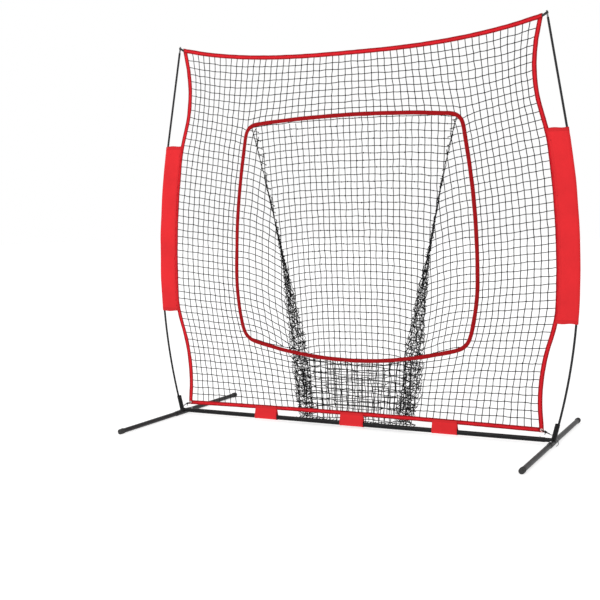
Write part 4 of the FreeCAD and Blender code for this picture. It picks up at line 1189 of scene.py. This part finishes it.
pocket_twine = twine_piece("pocket_twine", pocket_lines, TWINE * 0.95, twine_black)
pocket_folds = twine_piece("pocket_folds", fold_lines, TWINE * 0.8, twine_black)
pocket_ties = knot_piece("pocket_knots", pocket_crossings, POCKET_KNOT, twine_black)
for piece in (pocket_twine, pocket_folds, pocket_ties):
    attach(piece, BODY)
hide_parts("pocket_back", "pocket_front", "pocket_side_left", "pocket_side_right",
            "pocket_floor")


# Pole sleeves: red woven polyester wrapped round the pole and back to the border, where both
# layers are sewn down. Its ends are turned in and hemmed, and it is drawn tight by the pole.

CLOTH_STITCH = 0.0037
CLOTH_STITCH_PITCH = 0.0055
THREAD_HALF = 0.0007


def woven_cloth(name, colour, seam_places, hem_low, hem_high):
    """Plain-woven cloth: fine yarns, soft tone changes, and darker stitched seams and hems.
    seam_places are distances across the cloth in metres."""
    cloth = cloth_material(name, 0.72, 0.2, 0.08, 0.45)
    material, items, links, place, across_cloth, along_cloth = cloth
    sum_of = sums_in(items, links)
    along_stitch = stitched(sum_of, along_cloth, CLOTH_STITCH_PITCH, CLOTH_STITCH)
    across_stitch = stitched(sum_of, across_cloth, CLOTH_STITCH_PITCH, CLOTH_STITCH)
    thread = 0.0
    for seam in seam_places:
        line = sum_of("MULTIPLY", sum_of("COMPARE", across_cloth, seam, THREAD_HALF), along_stitch)
        thread = sum_of("MAXIMUM", thread, line)
    for hem in (hem_low, hem_high):
        line = sum_of("MULTIPLY", sum_of("COMPARE", along_cloth, hem, THREAD_HALF), across_stitch)
        thread = sum_of("MAXIMUM", thread, line)
    below = sum_of("LESS_THAN", along_cloth, hem_low)
    doubled = sum_of("MAXIMUM", below, sum_of("GREATER_THAN", along_cloth, hem_high))
    faded = ranged(items, links, noise_over(items, links, place, 9.0, 6.0), 0.92, 1.05, 0.3, 0.7)
    darker = sum_of("MULTIPLY_ADD", doubled, -0.14, 1.0)
    threaded = sum_of("MULTIPLY_ADD", thread, -0.3, 1.0)
    tinted(items, links, colour, sum_of("MULTIPLY", sum_of("MULTIPLY", darker, threaded), faded))
    weave = woven(sum_of, across_cloth, along_cloth, 7850.0, 7850.0)
    height = sum_of("MULTIPLY_ADD", weave, 0.12, noise_over(items, links, place, 38.0, 3.0))
    relief(items, links, sum_of("ADD", height, sum_of("MULTIPLY", thread, 0.6)), 0.35, 0.0012)
    return material


SLEEVE_RED = (0.76, 0.018, 0.024)
CLOTH_THICKNESS = 0.0009
SLEEVE_ACROSS = 30
SLEEVE_ALONG = 96
SLEEVE_LAP = 0.010
SLEEVE_HEM = 0.018
SEAM_ROWS = (0.006, 0.011)
for side, sign in (("left", -1.0), ("right", 1.0)):
    rows = {}
    for vertex in nodes["pole_sleeve_" + side].data.vertices:
        rows.setdefault(round(vertex.co.z, 4), []).append((abs(vertex.co.x), abs(vertex.co.y)))
    full = [row for row in sorted(rows) if len({round(x, 4) for x, _ in rows[row]}) > 12]
    seam_at = smooth_line(full, [min(x for x, _ in rows[row]) for row in full])
    radius = max(y for row in full for _, y in rows[row])
    axis_at = smooth_line(full, [max(x for x, _ in rows[row]) - radius for row in full])
    sleeve_low, sleeve_high = full[0], full[-1]
    length = sleeve_high - sleeve_low

    def sleeve_place(i, j):
        """From the seam over the front of the pole, round it and back to the seam behind."""
        z = sleeve_low + length * j / SLEEVE_ALONG
        seam = seam_at(z) - SLEEVE_LAP
        axis = axis_at(z)
        run = axis - seam
        turn = math.pi * radius
        travel = (2.0 * run + turn) * i / SLEEVE_ACROSS
        front = travel < run + turn / 2.0
        along_side = min(travel, 2.0 * run + turn - travel)
        end = min(z - sleeve_low, sleeve_high - z)
        thick = 0.0006 if end < 0.020 else 0.0
        if along_side < run:
            share = along_side / run
            x = seam + along_side
            y = 0.0028 + (radius - 0.0028) * share ** 1.15 + thick
            drag = 0.0022 * math.sin(math.pi * share) * noise.noise(
                Vector((x * 16.0 + z * 7.0, z * 11.0, 3.0 if front else 13.0)))
            pucker = 0.0011 * (1.0 - share) ** 2 * math.sin(z * 190.0 + 2.0 * math.sin(z * 31.0))
            y += drag + pucker
        else:
            angle = (along_side - run) / radius
            x = axis + (radius + thick) * math.sin(angle)
            y = (radius + thick) * math.cos(angle)
        sag = 0.0016 * noise.noise(Vector((z * 8.0, sign * 3.0, 1.0)))
        curl = 0.0018 * math.sin(x * 70.0 + sign) * (1.0 if end < 0.006 else 0.3)
        place = (sign * (x + sag), -y if front else y, z + curl * (end < 0.03))
        return place, (travel, z - sleeve_low)

    cloth_width = 2.0 * (axis_at(1.0) - seam_at(1.0) + SLEEVE_LAP) + math.pi * radius
    outer_row, inner_row = SEAM_ROWS
    sleeve_cloth = woven_cloth("sleeve_cloth_" + side, SLEEVE_RED,
                               (outer_row, inner_row, cloth_width - outer_row, cloth_width - inner_row),
                               SLEEVE_HEM, length - SLEEVE_HEM)
    sleeve = laid_grid("pole_sleeve_cloth_" + side, SLEEVE_ACROSS, SLEEVE_ALONG,
                       sleeve_place, sleeve_cloth)
    thicken(sleeve, CLOTH_THICKNESS, 0.0)
    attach(sleeve, BODY)
    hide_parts("pole_sleeve_" + side)


# Bar tabs: three strips of the same red cloth, sewn over both faces of the bottom border and
# passed under the base bar, so that they hold the net down. Their cut sides are hemmed.

TAB_ACROSS = 22
TAB_ALONG = 44
TAB_FACE = 0.0036
TAB_HEM = 0.012
TAB_SEAM = 0.007
TAB_ARC_START = 160.0
TAB_ARC = 220.0
TAB_ARC_STEPS = 16
for name in ("left", "centre", "right"):
    low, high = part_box("bar_tab_" + name)
    middle = (low.x + high.x) / 2.0
    width = high.x - low.x
    bar_low, bar_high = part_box("base_bar_centre")
    bar_height = (bar_low.z + bar_high.z) / 2.0
    bar_round = (bar_high.z - bar_low.z) / 2.0 + 0.0012
    top = high.z + 0.001
    # From the border down to the bar: depth from the net's middle, and height.
    drop = ((TAB_FACE, top), (TAB_FACE + 0.0006, top - 0.010), (TAB_FACE + 0.0002, top - 0.020),
            (TAB_FACE + 0.0035, (top + bar_height) / 2.0 - 0.004))
    outline = [Vector((-deep, high_up)) for deep, high_up in drop]
    for step in range(TAB_ARC_STEPS + 1):
        angle = math.radians(TAB_ARC_START + TAB_ARC * step / TAB_ARC_STEPS)
        outline.append(Vector((bar_round * math.cos(angle), bar_height + bar_round * math.sin(angle))))
    outline += [Vector(spot) for spot in reversed(drop)]
    travel = lengths_along(outline)
    height_at = smooth_line(travel, [spot.y for spot in outline])
    depth_at = smooth_line(travel, [spot.x for spot in outline])

    def tab_place(i, j):
        """Down the front of the border, under the bar and up the back."""
        share = i / TAB_ACROSS * 2.0 - 1.0
        along = travel[-1] * j / TAB_ALONG
        flare = 1.0 + 0.02 * math.sin(math.pi * j / TAB_ALONG)
        x = middle + share * width / 2.0 * flare
        z = height_at(along)
        y = depth_at(along)
        crease = 0.0012 * noise.noise(Vector((x * 40.0, along * 26.0, middle)))
        hem = 0.0006 if abs(share) > 0.88 else 0.0
        push = 1.0 if y > 0.0 else -1.0
        on_bar = 1.0 if z < bar_height + 0.008 else 0.0
        place = (x, y + push * (hem + abs(crease) * (1.0 - on_bar)), z - hem * on_bar)
        return place, (share * width / 2.0, along)

    seam = width / 2.0 - TAB_SEAM
    tab_cloth = woven_cloth("tab_cloth_" + name, SLEEVE_RED, (-seam, seam),
                            TAB_HEM, travel[-1] - TAB_HEM)
    tab = laid_grid("bar_tab_cloth_" + name, TAB_ACROSS, TAB_ALONG, tab_place, tab_cloth)
    thicken(tab, CLOTH_THICKNESS, 0.0)
    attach(tab, BODY)
    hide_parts("bar_tab_" + name)


# Corner ties: thin black cord looped through each bottom grommet, knotted, and stretched to a
# wire hook behind the pole socket. The plated grommet and the steel hook are the CAD's own.

CORD_ROUND = 0.0026
STRAND_ROUND = CORD_ROUND * 0.8
STRAND_APART = 0.0013
STRAND_TWIST = 16.0
STRANDS_START = 0.0240
KNOT_PLACE = 0.0215
RING_LONG = 0.0088
RING_WIDE = 0.0068
BACKWARDS = Vector((0.0, 1.0, 0.0))
cord_black = knotted_twine("cord_black", (0.006, 0.006, 0.0065))
grommet_metal = bare_metal("grommet_metal", (0.72, 0.70, 0.66), 0.28, 300.0)
hook_metal = bare_metal("hook_metal", (0.36, 0.36, 0.37), 0.38, 420.0)
finish_nodes(["corner_grommets"], grommet_metal)
finish_nodes(["corner_hook_left", "corner_hook_right"], hook_metal)
grommet_low, grommet_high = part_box("corner_grommets")
for side, sign in (("left", -1.0), ("right", 1.0)):
    low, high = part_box("corner_cord_" + side)
    start = Vector((sign * (grommet_high.x - 0.0075), 0.0, (grommet_low.z + grommet_high.z) / 2.0))
    end = Vector((high.x if sign > 0.0 else low.x, 0.0, low.z + CORD_ROUND))
    run = (end - start).normalized()
    lines = []
    ring = []
    for step in range(19):
        angle = 2.0 * math.pi * step / 18.0
        ring.append(start + run * (RING_LONG - RING_LONG * math.cos(angle))
                    + Vector((0.0, RING_WIDE * math.sin(angle), 0.0)))
    lines.append(ring)
    knot = []
    upright = run.cross(BACKWARDS)
    for step in range(41):
        angle = 2.0 * math.pi * step / 40.0
        crossing = math.cos(angle) - 2.0 * math.cos(2.0 * angle)
        knot.append(start + run * (KNOT_PLACE + 0.0022 * crossing)
                    + Vector((0.0, 0.0023 * (math.sin(angle) + 2.0 * math.sin(2.0 * angle)), 0.0))
                    + upright * (-0.0040 * math.sin(3.0 * angle)))
    lines.append(knot)
    stretch = (end - start).length
    for twist in (0.0, math.pi):
        strand = []
        for step in range(29):
            share = step / 28.0
            angle = twist + share * STRAND_TWIST
            aside = BACKWARDS * math.cos(angle) + upright * math.sin(angle)
            strand.append(start + run * (STRANDS_START + (stretch - STRANDS_START) * share)
                          + aside * STRAND_APART)
        lines.append(strand)
    tie = twine_piece("corner_tie_" + side, lines, STRAND_ROUND, cord_black)
    tail = []
    for step in range(7):
        share = step / 6.0
        tail.append(start + run * (0.0205 - 0.002 * share) + Vector((0.0, -0.004 - 0.003 * share, 0.0))
                    + Vector((0.0, 0.0, -1.0)) * (0.003 + 0.0115 * share))
    ends = twine_piece("corner_tie_end_" + side, [tail], STRAND_ROUND, cord_black)
    for piece in (tie, ends):
        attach(piece, BODY)
    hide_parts("corner_cord_" + side)


# Top corner loops: narrow black webbing sewn to the net's upper corners. Each is folded into
# a loop that drops over the neck of the pole's metal pin.

def strap_cloth(name, colour):
    """Narrow black webbing: tight ribs, a dull sheen and slight greying."""
    cloth = cloth_material(name, 0.8, 0.5, 0.15, 0.5)
    material, items, links, place, across_cloth, along_cloth = cloth
    grey = noise_over(items, links, place, 120.0, 2.0)
    links.new(two_tones(items, links, grey, 0.4, colour, 0.8, times(2.0, colour)),
              items["Principled BSDF"].inputs["Base Color"])
    weave = woven(sums_in(items, links), across_cloth, along_cloth, 6300.0, 5700.0)
    relief(items, links, weave, 0.4, 0.0003)
    return material


strap_black = strap_cloth("strap_black", (0.011, 0.011, 0.012))
LOOP_ROUND = 0.0056
LOOP_BAND = 0.0100
LOOP_THICKNESS = 0.0016
LOOP_GAP = 0.0012
LOOP_ACROSS = 6
PIN_RADIUS = 0.0045
for side, sign in (("left", -1.0), ("right", 1.0)):
    tip_low, tip_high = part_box("pole_tip_" + side)
    loop_low, loop_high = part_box("corner_loop_" + side)
    foot = Vector((max(abs(tip_low.x), abs(tip_high.x)) - PIN_RADIUS, 0.0, tip_low.z))
    head = Vector((min(abs(tip_low.x), abs(tip_high.x)) + PIN_RADIUS, 0.0, tip_high.z))
    neck_up = (head - foot).normalized()
    centre_x = max(abs(loop_low.x), abs(loop_high.x)) - 0.0073
    centre = foot + neck_up * ((foot.x - centre_x) / -neck_up.x)
    corner = Vector((min(abs(loop_low.x), abs(loop_high.x)) - 0.004, 0.0, loop_low.z + 0.0015))
    run = (corner - centre).normalized()
    flat_up = Vector((-run.z, 0.0, run.x))
    if flat_up.z < 0.0:
        flat_up = -flat_up
    level_run = (run - neck_up * run.dot(neck_up)).normalized()
    reach = (corner - centre).length

    def strap_leg(share, way):
        """A place on the strap's front or back leg. The legs come together at the net."""
        apart = LOOP_GAP + (LOOP_ROUND - LOOP_GAP) * (1.0 - share) ** 0.8
        return centre + run * (reach * share), Vector((0.0, way * apart, 0.0)), share

    path = [strap_leg(1.0 - step / 8.0, -1.0) for step in range(9)]
    for step in range(1, 12):
        angle = math.pi * step / 12.0
        path.append((centre - level_run * (LOOP_ROUND * math.sin(angle)),
                     Vector((0.0, -LOOP_ROUND * math.cos(angle), 0.0)), 0.0))
    path += [strap_leg(step / 8.0, 1.0) for step in range(9)]
    travel = lengths_along([spot + aside for spot, aside, _ in path])

    def loop_place(i, j):
        """The strap turns from the pin's slant to the net's corner along its legs."""
        spot, aside, share = path[j]
        up = (neck_up * (1.0 - share) + flat_up * share).normalized()
        across_band = LOOP_BAND * (i / LOOP_ACROSS - 0.5)
        place = spot + aside + up * across_band
        return (sign * place.x, place.y, place.z), (across_band, travel[j])

    strap = laid_grid("top_corner_loop_" + side, LOOP_ACROSS, len(path) - 1, loop_place, strap_black)
    thicken(strap, LOOP_THICKNESS, 0.0)
    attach(strap, BODY)
    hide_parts("corner_loop_" + side)


# Weld beads: the pole socket and the bar spigot are welded to each hub with a small uneven
# fillet, sprayed over with the same black coat.

BEAD_ROUND = 0.0019
BEAD_STEPS = 48
BEAD_OUT = 0.0004
SOCKET_LEAN = math.radians(14.0)


def weld_bead(name, centre, axis, radius, hub_middle, hub_radius):
    """A lumpy closed bead where a round tube meets the hub, which lies front to back."""
    beside = axis.cross(BACKWARDS).normalized()
    lumps = random.Random(31)
    curve = bpy.data.curves.new(name, "CURVE")
    curve.dimensions = "3D"
    curve.bevel_depth = BEAD_ROUND
    curve.bevel_resolution = 2
    spline = curve.splines.new("POLY")
    spline.points.add(BEAD_STEPS - 1)
    spline.use_cyclic_u = True
    for step in range(BEAD_STEPS):
        angle = 2.0 * math.pi * step / BEAD_STEPS
        edge = centre + BACKWARDS * (radius * math.cos(angle)) + beside * (radius * math.sin(angle))
        away = edge - hub_middle
        away.y = 0.0
        along = away.dot(axis)
        across_hub = (away - axis * along).length
        rise = math.sqrt(max(0.0, hub_radius ** 2 - across_hub ** 2))
        spot = edge + axis * (rise - along)
        spline.points[step].co = (*spot, 1.0)
        spline.points[step].radius = lumps.uniform(0.8, 1.2)
    bead = curve_made_mesh(name, curve, black_coat)
    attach(bead, BODY)


for side, sign in (("left", -1.0), ("right", 1.0)):
    hub_low, hub_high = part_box("foot_hub_" + side)
    hub_middle = (hub_low + hub_high) / 2.0
    hub_radius = (hub_high.z - hub_low.z) / 2.0
    socket_low, socket_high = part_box("pole_socket_" + side)
    lean = SOCKET_LEAN * sign
    socket_axis = Vector((math.sin(lean), 0.0, math.cos(lean)))
    socket_radius = (socket_high.y - socket_low.y) / 2.0 + BEAD_OUT
    weld_bead("socket_weld_" + side, hub_middle, socket_axis, socket_radius, hub_middle, hub_radius)
    spigot_low, spigot_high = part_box("bar_spigot_" + side)
    spigot_centre = Vector((hub_middle.x, 0.0, (spigot_low.z + spigot_high.z) / 2.0))
    spigot_radius = (spigot_high.y - spigot_low.y) / 2.0 + BEAD_OUT
    weld_bead("spigot_weld_" + side, spigot_centre, Vector((-sign, 0.0, 0.0)), spigot_radius,
              hub_middle, hub_radius)
